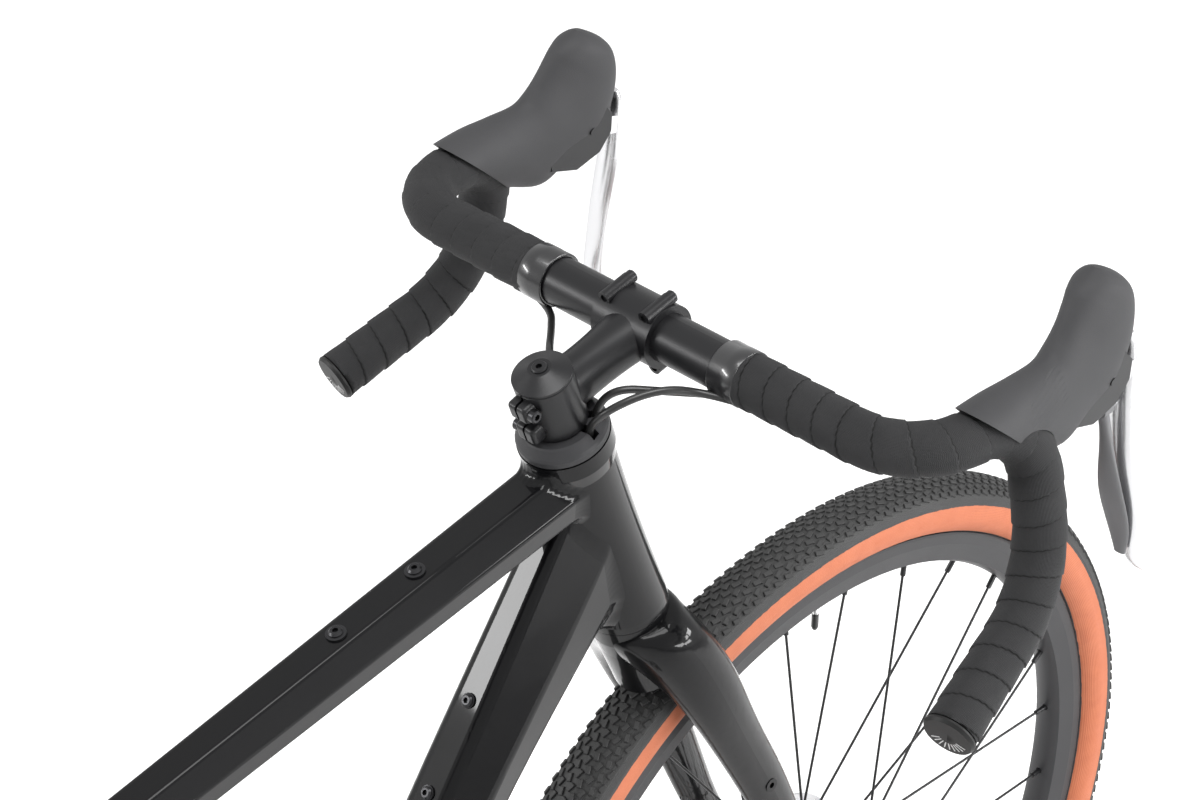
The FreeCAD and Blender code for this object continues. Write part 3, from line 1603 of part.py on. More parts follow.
def make_steering():
    """Save everything that turns with the fork, apart from the wheel and the levers."""
    hoses = make_control_hoses()
    fork_hose = make_fork_hose()
    fork = placed(make_fork(), steering).cut(fork_hose)
    save("fork", fork)
    save("front_caliper", *make_front_caliper(fork))
    save("control_hoses", *hoses, fork_hose)
    save("headset_cover", *[placed(s, steering) for s in make_headset_cover()])
    save("stem", placed(make_stem(), steering))
    save("stem_faceplate", placed(make_faceplate(), steering))
    save("stem_bolts", *[placed(s, steering) for s in make_stem_bolts()])
    save("top_cap", *[placed(s, steering) for s in make_top_cap()])
    save("handlebar", make_handlebar())
    tape = make_bar_tape()
    save("bar_tape", tape.cut(hoses[2]), mirrored(tape).cut(hoses[0]).cut(hoses[1]))
    plug = make_plug()
    save("bar_end_plugs", plug, mirrored(plug))
    hood = make_hood()
    save("hoods", hood, mirrored(hood))
    bracket = make_bracket()
    save("lever_brackets", bracket, mirrored(bracket))
    lever = make_lever()
    save("left_brake_lever", lever)
    save("right_brake_lever", mirrored(fused(lever, paddle_pin())))
    save("shift_paddle", mirrored(make_paddle()))
    axle = make_thru_axle(front_hub_width, 13.0, 1)
    save("front_thru_axle", *[moved_to(s, front_axle) for s in axle])


# Drivetrain

def pitch_radius(teeth):
    """Radius of the circle through the chain's pins on a sprocket."""
    return chain_pitch / (2 * math.sin(math.pi / teeth))


def polar(center, radius, angle):
    """A flat point at a radius and angle from a centre."""
    return center[0] + radius * math.cos(angle), center[1] + radius * math.sin(angle)


def toothed_disc(teeth, phase, thickness, bore, low, height=tooth_height):
    """A sprocket blank whose valleys hold the chain's rollers."""
    radius = pitch_radius(teeth)
    valley = roller_radius + 0.12
    step = 2 * math.pi / teeth
    lean = math.radians(13)
    tip = radius + height
    tip_half = 0.13 * step
    points = []
    for i in range(teeth):
        turn = phase + i * step
        center = polar((0.0, 0.0), radius, turn)
        before = turn - step / 2 + tip_half
        after = turn + step / 2 - tip_half
        points.append(polar((0.0, 0.0), tip, before))
        points.append(polar(center, valley, turn - math.pi / 2 - lean))
        start = polar(center, valley, turn + math.pi)
        points.append((*start, *polar(center, valley, turn + math.pi / 2 + lean)))
        points.append(polar((0.0, 0.0), tip, after))
    blank = slab(points, low, low + thickness)
    return blank.cut(side_rod(0, 0, bore, low - 1, low + thickness + 1))


def tangent(first, second):
    """Chain run from one circle to the next: (centre, radius, sense) with sense 1 for clockwise."""
    (c, r, s), (d, q, t) = first, second
    dx = d[0] - c[0]
    dz = d[1] - c[1]
    gap = math.hypot(dx, dz)
    turn = math.atan2(dz, dx) + math.acos((s * r - t * q) / gap)
    n = (math.cos(turn), math.sin(turn))
    return (c[0] + s * r * n[0], c[1] + s * r * n[1]), (d[0] + t * q * n[0], d[1] + t * q * n[1])


class ChainPath:
    """Closed line of the chain's pins round its sprockets, in the bike's plane."""

    def __init__(self, circles):
        self.pieces = []
        count = len(circles)
        runs = [tangent(circles[i], circles[(i + 1) % count]) for i in range(count)]
        for i in range(count):
            start, end = runs[i]
            self.pieces.append(("run", start, end, math.dist(start, end)))
            center, radius, sense = circles[(i + 1) % count]
            arrive = math.atan2(end[1] - center[1], end[0] - center[0])
            leave_point = runs[(i + 1) % count][0]
            leave = math.atan2(leave_point[1] - center[1], leave_point[0] - center[0])
            sweep = (arrive - leave) % (2 * math.pi) if sense > 0 else (leave - arrive) % (2 * math.pi)
            self.pieces.append(("arc", (center, radius, sense), arrive, sweep * radius))
        self.length = sum(piece[3] for piece in self.pieces)

    def at(self, distance):
        """The point at a distance along the closed line."""
        distance %= self.length
        for kind, first, second, length in self.pieces:
            if distance <= length:
                if kind == "run":
                    share = distance / length
                    return tuple(a + (b - a) * share for a, b in zip(first, second))
                center, radius, sense = first
                turn = second - sense * distance / radius
                return center[0] + radius * math.cos(turn), center[1] + radius * math.sin(turn)
            distance -= length
        return self.at(0.0)

    def pins(self, count):
        """Pins one pitch apart, and how far along the last one stops short of the first."""
        places = [0.0]
        for _ in range(count):
            here = self.at(places[-1])
            low = places[-1] + 0.9 * chain_pitch
            high = places[-1] + 1.15 * chain_pitch
            for _ in range(40):
                middle = (low + high) / 2
                if math.dist(self.at(middle), here) < chain_pitch:
                    low = middle
                else:
                    high = middle
            places.append(high)
        return [self.at(p) for p in places[:-1]], self.length - places[-1]


def flat(point):
    """Forward and upward pair of a point."""
    return point.x, point.z


guide_place = (12.0, -120.0)
cage_pivot_place = (-3.0, -112.0)


def chain_circles(cage_angle):
    """Pitch circles in the chain's order of travel, for one swing of the cage."""
    axle = flat(rear_axle)
    guide = (axle[0] + guide_place[0], axle[1] + guide_place[1])
    lower = (guide[0] + cage_length * math.cos(cage_angle), guide[1] + cage_length * math.sin(cage_angle))
    return [
        (axle, pitch_radius(cassette_teeth[driven_cog]), 1),
        (flat(bottom_bracket), pitch_radius(chainring_teeth), 1),
        (lower, pitch_radius(pulley_teeth), 1),
        (guide, pitch_radius(pulley_teeth), -1),
    ]


def settle_chain():
    """The even number of links and the cage swing that close the chain."""
    rest = ChainPath(chain_circles(math.radians(cage_rest)))
    links = 2 * round(rest.length / chain_pitch / 2)
    back = math.radians(cage_rest - 40)
    ahead = math.radians(cage_rest + 40)
    for _ in range(50):
        swing = (back + ahead) / 2
        pins, slack = ChainPath(chain_circles(swing)).pins(links)
        if slack > 0:
            back = swing
        else:
            ahead = swing
    print("chain links", links, "cage swing", round(math.degrees(swing), 3), "slack", round(slack, 4))
    return swing, pins


def phase_on(center, pins, radius):
    """Turn of the first pin that lies on a sprocket's pitch circle."""
    for pin in pins:
        if abs(math.dist(pin, center) - radius) < 0.01:
            return math.atan2(pin[1] - center[1], pin[0] - center[0])
    return 0.0


def link_plate(low, high):
    """A waisted chain plate along x, between two pins."""
    r = chain_plate_radius
    reach = 0.7 * r
    points = [
        (-reach * 0.2, r * 0.98),
        (chain_pitch / 2, chain_waist, chain_pitch + reach * 0.2, r * 0.98),
        (chain_pitch + r, 0, chain_pitch + reach * 0.2, -r * 0.98),
        (chain_pitch / 2, -chain_waist, -reach * 0.2, -r * 0.98),
        (-r, 0, -reach * 0.2, r * 0.98),
    ]
    return slab(points, low, high)


def make_links():
    """One inner link with its rollers and one outer link with its pins, along x from the first pin."""
    inner_low = chain_inner_half
    inner_high = inner_low + chain_plate
    outer_low = inner_high + chain_side_gap
    outer_high = outer_low + chain_plate
    plates = [link_plate(inner_low, inner_high), link_plate(-inner_high, -inner_low)]
    rollers = [side_rod(x, 0, roller_radius, -inner_low, inner_low) for x in (0, chain_pitch)]
    bores = [
        side_rod(x, 0, chain_pin_radius + running_gap, -inner_high - 1, inner_high + 1)
        for x in (0, chain_pitch)
    ]
    inner = fused(*plates, *rollers).cut(Part.makeCompound(bores))
    plates = [link_plate(outer_low, outer_high), link_plate(-outer_high, -outer_low)]
    pins = [side_rod(x, 0, chain_pin_radius, -outer_high - 0.15, outer_high + 0.15) for x in (0, chain_pitch)]
    outer = fused(*plates, *pins)
    return inner, outer


def make_chain(pins):
    """Inner and outer links in turn along the pins."""
    kinds = make_links()
    links = []
    for i, pin in enumerate(pins):
        after = pins[(i + 1) % len(pins)]
        turn = math.degrees(math.atan2(after[1] - pin[1], after[0] - pin[0]))
        place = Placement(Vector(pin[0], -chain_line, pin[1]), Rotation(Y, -turn))
        links.append(placed(kinds[i % 2], place))
    return links


def make_cassette(phase):
    """Cogs with their spacers on the freehub body, and a lock ring."""
    solids = []
    bore = freehub_radius + running_gap
    for i, teeth in enumerate(cassette_teeth):
        low = -chain_line - tooth_thickness / 2 + (i - driven_cog) * cog_spacing
        cog = toothed_disc(teeth, phase if i == driven_cog else 0.0, tooth_thickness, bore, low)
        root = pitch_radius(teeth) - roller_radius - 4
        if root > 34:
            window_low = freehub_radius + 8
            windows = []
            for k in range(6):
                slot = capsule((-6, window_low + 4), (7, root - 5), 3.6, low - 1, low + tooth_thickness + 1)
                windows.append(about_axle(slot, k * 60))
            cog = cog.cut(Part.makeCompound(windows))
        if i < len(cassette_teeth) - 1:
            collar = ring(freehub_radius + 3.5, bore, low + tooth_thickness, low + cog_spacing - 0.02)
            cog = fused(cog, collar)
        solids.append(moved_to(cog, rear_axle))
    first = -chain_line - tooth_thickness / 2 - driven_cog * cog_spacing
    last = first + (len(cassette_teeth) - 1) * cog_spacing + tooth_thickness
    body = ring(freehub_radius, spindle_radius + running_gap, first - 1.0, last + 1.5)
    lock = ring(freehub_radius + 2.5, spindle_radius + 2.0, first - 3.4, first - 1.05)
    solids += [moved_to(body, rear_axle), moved_to(lock, rear_axle)]
    return solids


chainring_hub = 16.0


def make_chainring(phase):
    """Direct-mount chainring with five arms."""
    low = -chain_line - tooth_thickness / 2
    high = low + tooth_thickness
    root = pitch_radius(chainring_teeth) - roller_radius - 7
    teeth = toothed_disc(chainring_teeth, phase, tooth_thickness, root, low)
    hub = ring(chainring_hub + 9, chainring_hub + running_gap, low - 4.5, high)
    arms = []
    for i in range(5):
        arm = capsule((0, chainring_hub + 6), (0, root - 3.5), 6.0, low - 2.0, high)
        arms.append(about_axle(arm, i * 72.0 + 18))
    return moved_to(fused(teeth, hub, *arms), bottom_bracket)


def make_crank_arm(side):
    """One crank arm, tapering from the spindle boss to the pedal eye; the right one points forward."""
    forward = 1 if side < 0 else -1
    low = crank_inner_face
    high = low + crank_thickness
    boss = side_rod(0, 0, 19.0, low, high)
    eye = side_rod(crank_length, 0, 14.0, low, high)
    points = [
        (0, 18.0),
        (crank_length * 0.55, 13.2, crank_length, 13.0),
        (crank_length, -13.0),
        (crank_length * 0.55, -13.2, 0, -18.0),
    ]
    arm = slab(points, low, high)
    arm = fused(boss, eye, arm)
    arm = arm.cut(side_rod(crank_length, 0, pedal_axle_radius + 2.5, low - 1, high + 1))
    groove = capsule((34, 0), (crank_length - 40, 0), 6.0, high - 3.0, high + 1)
    spindle_hole = side_rod(0, 0, spindle_tube_radius + 0.01, low - 1, high + 1)
    arm = arm.cut(groove).cut(spindle_hole)
    if forward < 0:
        arm.rotate(Vector(), Y, 180)
    return arm


def make_cranks():
    """Two arms clamped on a hollow spindle, which carries the chainring's seat on the right."""
    right = mirrored(make_crank_arm(-1))
    left = make_crank_arm(1)
    end = crank_inner_face + crank_thickness - 1.0
    bore = spindle_tube_radius - 2.5
    spacer = shell_width / 2 + cup_flange + 0.3
    face = crank_inner_face - 0.02
    seat_end = -chain_line + tooth_thickness / 2
    spindle = turned_about_y(
        [
            (-end, bore),
            (end, bore),
            (end, spindle_tube_radius),
            (face, spindle_tube_radius),
            (face, chainring_hub - 1),
            (spacer, chainring_hub - 1),
            (spacer, spindle_tube_radius),
            (-spacer, spindle_tube_radius),
            (-spacer, chainring_hub - 1),
            (seat_end, chainring_hub - 1),
            (seat_end, chainring_hub),
            (-face, chainring_hub),
            (-face, spindle_tube_radius),
            (-end, spindle_tube_radius),
        ]
    )
    return [moved_to(solid, bottom_bracket) for solid in (right, left, spindle)]


def make_pedal(side):
    """Platform pedal: a caged body on an axle screwed into the crank arm."""
    start = crank_inner_face + 1.0
    body_low = crank_inner_face + crank_thickness + 6.0
    body_high = body_low + pedal_width
    half = pedal_length / 2
    t = pedal_thickness / 2
    corner = 14.0
    frame = slab(
        [
            (-half, -t + 3),
            (-half, t - 3),
            (-half + 8, t),
            (half - 8, t),
            (half, t - 3),
            (half, -t + 3),
            (half - 8, -t),
            (-half + 8, -t),
        ],
        body_low,
        body_high,
    )
    openings = []
    for x in (-half + 12, 12):
        room = Part.makeBox(half - 24, pedal_width - 2 * corner, 40, Vector(x, body_low + corner, -20))
        openings.append(room)
    frame = frame.cut(Part.makeCompound(openings))
    crank_face = crank_inner_face + crank_thickness
    thread = side_rod(0, 0, pedal_axle_radius + 2.5 - running_gap, start, crank_face - 0.5)
    axle = side_rod(0, 0, pedal_axle_radius, start, body_high - 6)
    wrench_flat = side_rod(0, 0, pedal_axle_radius + 3, crank_face + 0.3, body_low - 0.3)
    spindle = fused(thread, axle, wrench_flat)
    hole = side_rod(0, 0, pedal_axle_radius + running_gap, body_low - 1, body_high - 6 + 0.3)
    body = frame.cut(hole)
    place = bottom_bracket + Vector(side * -crank_length, 0, 0)
    if side < 0:
        body = mirrored(body)
        spindle = mirrored(spindle)
    return moved_to(body, place), moved_to(spindle, place)


# Rear derailleur, placed from the rear axle
link_pin_radius = 2.0
link_half_width = 9.0
link_half_thickness = 3.2
upper_pivot = Vector(-10, -98, -54)
lower_pivot = Vector(-4, -76, -96)
link_spacing = Vector(0, 15, 0)
link_vector = lower_pivot - upper_pivot
pivot_axis = Vector(0, 1, 0).cross(Vector(link_vector.x, 0, link_vector.z)).normalize()


def link_plate_between(start, end, half_width, half_thickness, hole):
    """A derailleur link: round ends about two pins, drilled along the pivot axis."""
    along = (end - start).normalize()
    side = pivot_axis.cross(along)
    length = (end - start).Length
    turn = Rotation(along, pivot_axis, side, "XYZ")
    t = half_thickness
    points = [(0, t), (length, t), (length + t, 0, length, -t), (0, -t), (-t, 0, 0, t)]
    plate = slab(points, -half_width, half_width)
    drills = [side_rod(x, 0, hole, -half_width - 1, half_width + 1) for x in (0, length)]
    return placed(plate.cut(Part.makeCompound(drills)), Placement(start, turn))


def ears_about(first, second, reach):
    """Two ears that carry a pair of link pins, outside the links."""
    parts = []
    near = link_half_width + 0.4
    far = link_half_width + 3.4
    for low, high in ((near, far), (-far, -near)):
        along = (second - first).normalize()
        side = pivot_axis.cross(along)
        length = (second - first).Length
        t = reach
        points = [(0, t), (length, t), (length + t, 0, length, -t), (0, -t), (-t, 0, 0, t)]
        plate = slab(points, low, high)
        parts.append(placed(plate, Placement(first, Rotation(along, pivot_axis, side, "XYZ"))))
    for pin in (first, second):
        parts.append(rod(pin - pivot_axis * far, pin + pivot_axis * far, link_pin_radius))
    return parts


def make_derailleur(cage_angle, pins):
    """Save the derailleur's knuckles, links, cage and pulleys."""
    base = rear_axle
    upper = [base + upper_pivot, base + upper_pivot + link_spacing]
    lower = [base + lower_pivot, base + lower_pivot + link_spacing]
    hanger_outer = -rear_hub_width / 2 - dropout_thickness - 6
    bolt = base + Vector(hanger_hole[0], 0, hanger_hole[1])
    boss = rod(bolt + Y * (hanger_outer - 0.05), bolt + Y * (hanger_outer - 20), 10.0)
    screw = rod(bolt + Y * (hanger_outer + 6), bolt + Y * (hanger_outer - 1), 5.0 - running_gap)
    top = (upper[0] + upper[1]) * 0.5
    neck_top = Vector(bolt.x, hanger_outer - 13, bolt.z)
    reach = link_half_width + 3.4
    neck = loft(
        [
            oval(neck_top + Z * 2, Z, Y, 8.0, 8.0),
            oval(Vector(top.x, top.y, top.z + 11), Z, Y, 9.5, reach),
            oval(Vector(top.x, top.y, top.z + 5.5), Z, Y, 9.5, reach),
        ],
        ruled=True,
    )
    knuckle = fused(boss, screw, neck, *ears_about(upper[0], upper[1], 5.0))
    save("derailleur_knuckle", knuckle)
    gap = running_gap
    sizes = (link_half_width, link_half_thickness, link_pin_radius + gap)
    outer = link_plate_between(upper[0], lower[0], *sizes)
    inner = link_plate_between(upper[1], lower[1], *sizes)
    save("derailleur_outer_link", outer)
    save("derailleur_inner_link", inner)
    pivot = base + Vector(cage_pivot_place[0], 0, cage_pivot_place[1])
    outer_face = -chain_line - cage_half_gap - cage_plate
    low = (lower[0] + lower[1]) * 0.5
    drum = rod(pivot + Y * (outer_face - 0.3), pivot + Y * (low.y - 9), 9.5)
    pin = rod(pivot + Y * (outer_face + cage_plate), pivot + Y * (outer_face - 2), 4.0)
    shoulder = loft(
        [
            oval(Vector(low.x, low.y, low.z - 5.5), Z, Y, 8.0, reach),
            oval(Vector(pivot.x, low.y, pivot.z - 1), Z, Y, 8.0, 9.0),
        ],
        ruled=True,
    )
    moving = fused(drum, pin, shoulder, *ears_about(lower[0], lower[1], 5.0))
    save("derailleur_moving_knuckle", moving)
    guide = (guide_place[0], guide_place[1])
    tension = (guide[0] + cage_length * math.cos(cage_angle), guide[1] + cage_length * math.sin(cage_angle))
    plates = []
    cage_half = cage_half_gap + cage_plate
    for inside, outside in ((cage_half_gap, cage_half), (-cage_half, -cage_half_gap)):
        plate = capsule(guide, tension, 11.0, inside - chain_line, outside - chain_line)
        if inside < 0:
            arm = capsule(guide, cage_pivot_place, 9.0, inside - chain_line, outside - chain_line)
            plate = fused(plate, arm)
            hole = side_rod(*cage_pivot_place, 4.0 + running_gap, outer_face - 1, outer_face + cage_plate + 1)
            plate = plate.cut(hole)
        middle = ((guide[0] + tension[0]) / 2, (guide[1] + tension[1]) / 2)
        plate = plate.cut(side_rod(*middle, 7.0, inside - chain_line - 1, outside - chain_line + 1))
        plates.append(plate)
    axles = [
        side_rod(*place, 2.5, -chain_line - cage_half, -chain_line + cage_half)
        for place in (guide, tension)
    ]
    save("derailleur_cage", moved_to(fused(*plates, *axles), rear_axle))
    for name, place in (("guide_pulley", guide), ("tension_pulley", tension)):
        center = (rear_axle.x + place[0], rear_axle.z + place[1])
        phase = phase_on(center, pins, pitch_radius(pulley_teeth))
        thickness = tooth_thickness
        low = -chain_line - thickness / 2
        disc = toothed_disc(pulley_teeth, phase, thickness, 2.5 + running_gap, low, pulley_tooth_height)
        half = cage_half_gap - 0.4
        hub = ring(9.0, 2.5 + running_gap, -chain_line - half, -chain_line + half)
        pulley = fused(disc, hub)
        save(name, moved_to(pulley, Vector(center[0], 0, center[1])))


def make_drivetrain():
    """Save the cranks, pedals, chain, cassette and derailleur."""
    cage_angle, pins = settle_chain()
    axle = flat(rear_axle)
    cog_phase = phase_on(axle, pins, pitch_radius(cassette_teeth[driven_cog]))
    ring_phase = phase_on(flat(bottom_bracket), pins, pitch_radius(chainring_teeth))
    save("chain", *make_chain(pins))
    save("cassette", *make_cassette(cog_phase))
    save("chainring", make_chainring(ring_phase))
    left_body, left_spindle = make_pedal(1)
    right_body, right_spindle = make_pedal(-1)
    save("crank_arms", *make_cranks(), left_spindle, right_spindle)
    save("left_pedal", left_body)
    save("right_pedal", right_body)
    make_derailleur(cage_angle, pins)


# Seat

def make_seat():
    """Save the seatpost, saddle and rails."""
    top = saddle_height - 48
    low = top - seatpost_length
    tube = Part.makeCylinder(seatpost_radius, seatpost_length, Vector(0, 0, low))
    tube = tube.cut(Part.makeCylinder(seatpost_radius - 2, seatpost_length - 20, Vector(0, 0, low - 1)))
    post = placed(tube, seating)
    clamp = seat_point(top) + Vector(-seatpost_setback, 0, 20)
    cradle_half = rail_half_gap + 6
    cradle = moved_to(side_rod(0, -6.5, 10.0, -cradle_half, cradle_half), clamp)
    neck = rod(seat_point(top - 16), clamp - Z * 6, 12.5)
    above = Part.makeBox(60, 90, 30, clamp + Vector(-30, -45, 0.4))
    rails = make_rails(clamp.x, clamp.z)
    channels = rail_channels(clamp.x, clamp.z)
    save("seatpost", largest(fused(post, neck, cradle).cut(channels).cut(above)))
    save("saddle_rails", *rails)
    save("saddle", make_saddle(clamp.x, clamp.z, rails[:2]))


def rail_channels(x, z):
    """The two grooves that hold the rails in their clamp."""
    radius = rail_radius + running_gap
    sides = (rail_half_gap, -rail_half_gap)
    return Part.makeCompound([rod(Vector(x - 40, y, z), Vector(x + 40, y, z), radius) for y in sides])


saddle_shares = [
    (0.0, 0.12, 12.0, 0.0),
    (0.06, 0.24, 22.0, 2.0),
    (0.30, 0.29, 28.0, 3.0),
    (0.52, 0.44, 31.0, 1.0),
    (0.72, 0.82, 34.0, 3.0),
    (0.88, 1.0, 36.0, 8.0),
    (1.0, 0.78, 26.0, 10.0),
]
saddle_room_shares = [
    (0.14, 0.26, 24.0, 2.4),
    (0.30, 0.29, 28.0, 3.0),
    (0.52, 0.44, 31.0, 1.0),
    (0.72, 0.82, 34.0, 3.0),
    (0.91, 0.97, 34.0, 8.0),
]


def make_rails(x, z):
    """Two rails, bent up at the nose and at the tail."""
    points = [
        Vector(x + 132, 9, z + 22),
        Vector(x + 72, rail_half_gap, z),
        Vector(x - 50, rail_half_gap, z),
        Vector(x - 100, rail_half_gap + 18, z + 22),
    ]
    left = Route(points, [60.0, 50.0]).pipe(rail_radius)
    top = Part.makeBox(30, 2 * rail_half_gap + 9, 7, Vector(x - 15, -rail_half_gap - 4.5, z + 0.5))
    top = top.makeFillet(2.5, top.Edges)
    return [left, mirrored(left), top.cut(rail_channels(x, z))]


def saddle_form(x, z, shares, side_wall, roof, sink):
    """A saddle-shaped solid over a stretch of its length, drawn in by walls."""
    nose = x + saddle_nose_reach
    base = z + rail_radius + 18
    wires = []
    for share, width_share, depth, rise in shares:
        half = saddle_width / 2 * width_share - side_wall
        top = base + 14 + rise - roof
        low = top - depth - sink
        edge = top - 0.30 * depth
        wires.append(saddle_section(nose - share * saddle_length, half, half * 0.82, edge, low, top))
    return loft(wires)


def make_saddle(x, z, rails):
    """Crowned saddle whose sides draw in under its wings, hollow below with the rails' ends held."""
    outer = saddle_form(x, z, saddle_shares, 0.0, 0.0, 0.0)
    room = saddle_form(x, z, saddle_room_shares, 7.0, 13.0, 12.0)
    return largest(outer.cut(room).cut(Part.makeCompound(rails)))


def saddle_section(x, half, inset, edge, low, top):
    """One cross-section: a crowned top, sides drawn in and a flat underside."""
    left_edge = Vector(x, half, edge)
    right_edge = Vector(x, -half, edge)
    left_low = Vector(x, inset, low)
    right_low = Vector(x, -inset, low)
    crown_point = Vector(x, 0, top)
    left_middle = Vector(x, half * 0.95, (edge + low) / 2)
    right_middle = Vector(x, -half * 0.95, (edge + low) / 2)
    return Part.Wire([
        Part.Arc(right_edge, crown_point, left_edge).toShape(),
        Part.Arc(left_edge, left_middle, left_low).toShape(),
        Part.LineSegment(left_low, right_low).toShape(),
        Part.Arc(right_low, right_middle, right_edge).toShape(),
    ])


os.makedirs("parts", exist_ok=True)
make_frame()
make_steering()
make_drivetrain()
make_seat()
front_end = -front_hub_width / 2 + 8.0
largest_cog = -chain_line + (len(cassette_teeth) - 1 - driven_cog) * cog_spacing
rear_drive_end = largest_cog + tooth_thickness / 2 + 1.8
make_wheel("front", front_axle, front_flanges, front_hub_width, front_rotor_place, front_end)
make_wheel("rear", rear_axle, rear_flanges, rear_hub_width, rear_rotor_place, rear_drive_end)
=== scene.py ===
"""Looks of the gravel bike: materials, small repeated forms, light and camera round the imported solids."""

import json
import logging
import math
from dataclasses import dataclass, field
from enum import Enum
from typing import Optional

import bmesh
import bpy
from mathutils import Euler, Matrix, Vector
from mathutils.bvhtree import BVHTree

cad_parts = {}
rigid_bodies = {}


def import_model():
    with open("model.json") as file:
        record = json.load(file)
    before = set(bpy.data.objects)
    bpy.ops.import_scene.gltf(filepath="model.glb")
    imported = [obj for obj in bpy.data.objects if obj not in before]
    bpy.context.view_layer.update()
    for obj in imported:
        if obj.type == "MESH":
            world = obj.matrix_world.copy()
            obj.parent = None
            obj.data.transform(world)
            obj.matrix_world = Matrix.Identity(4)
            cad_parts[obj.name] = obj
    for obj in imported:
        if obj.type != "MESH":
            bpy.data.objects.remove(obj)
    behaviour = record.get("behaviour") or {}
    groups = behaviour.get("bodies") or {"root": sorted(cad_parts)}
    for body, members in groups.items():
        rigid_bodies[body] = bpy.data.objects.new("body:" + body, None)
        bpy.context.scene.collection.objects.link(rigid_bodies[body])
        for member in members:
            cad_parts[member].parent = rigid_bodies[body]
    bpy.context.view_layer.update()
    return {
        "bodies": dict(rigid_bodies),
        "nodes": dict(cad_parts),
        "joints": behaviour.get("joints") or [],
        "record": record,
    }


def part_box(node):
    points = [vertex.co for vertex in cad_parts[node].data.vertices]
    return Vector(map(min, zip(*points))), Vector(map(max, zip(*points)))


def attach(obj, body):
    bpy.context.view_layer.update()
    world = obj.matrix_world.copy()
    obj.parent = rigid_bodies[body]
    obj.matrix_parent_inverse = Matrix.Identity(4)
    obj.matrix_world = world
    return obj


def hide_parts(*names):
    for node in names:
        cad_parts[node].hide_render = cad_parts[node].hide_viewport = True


LOG = logging.getLogger("gravel_bike")
MM = 0.001

BAR_MIDDLE = Vector((0.34172, 0.0, 0.95082))
FULL_TURN = 2 * math.pi
SQUARE = ((-1, -1), (1, -1), (1, 1), (-1, 1))

SMEAR_SCALE = 26.0
MOTTLE_SCALE = 40.0
TREAD_EDGE = 0.3415
BEAD_EDGE = 0.3185
EDGE_WANDER = 0.0012
# Width, in millimetres of winding, of the strip at the foot of each tape turn that is painted darker as
# painted shade in the seam.
CASING_THREADS = 5200.0
VALVE_CAP_EDGE = 0.2785
VALVE_THREAD = 0.0009
EMBOSS_PITCH = 1.7
SEAM_SHADE_WIDTH = 0.9
GRIP_PITCH = 0.0031
GRIP_SLANT = -0.25
GRIP_CUT = 0.45

Colour = tuple[float, float, float]


class Wheel(Enum):
    """The two wheels, by the prefix of their nodes."""

    FRONT = "front"
    REAR = "rear"

    @property
    def body(self) -> str:
        """Name of the wheel's body."""
        return f"{self.value}_wheel"

    @property
    def centre(self) -> Vector:
        """Middle of the wheel, in metres."""
        low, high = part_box(f"{self.value}_rim")
        return (low + high) / 2


@dataclass(frozen=True)
class Finish:
    """A plain surface: its colour, gloss and grain."""

    colour: Colour
    roughness: float
    metallic: float = 0.0
    coat: float = 0.0
    coat_roughness: float = 0.05
    grain_scale: float = 0.0
    grain_depth: float = 0.0
    mottle: float = 0.0
    smear: float = 0.06
    specular: float = 0.5
    coat_ior: float = 1.5


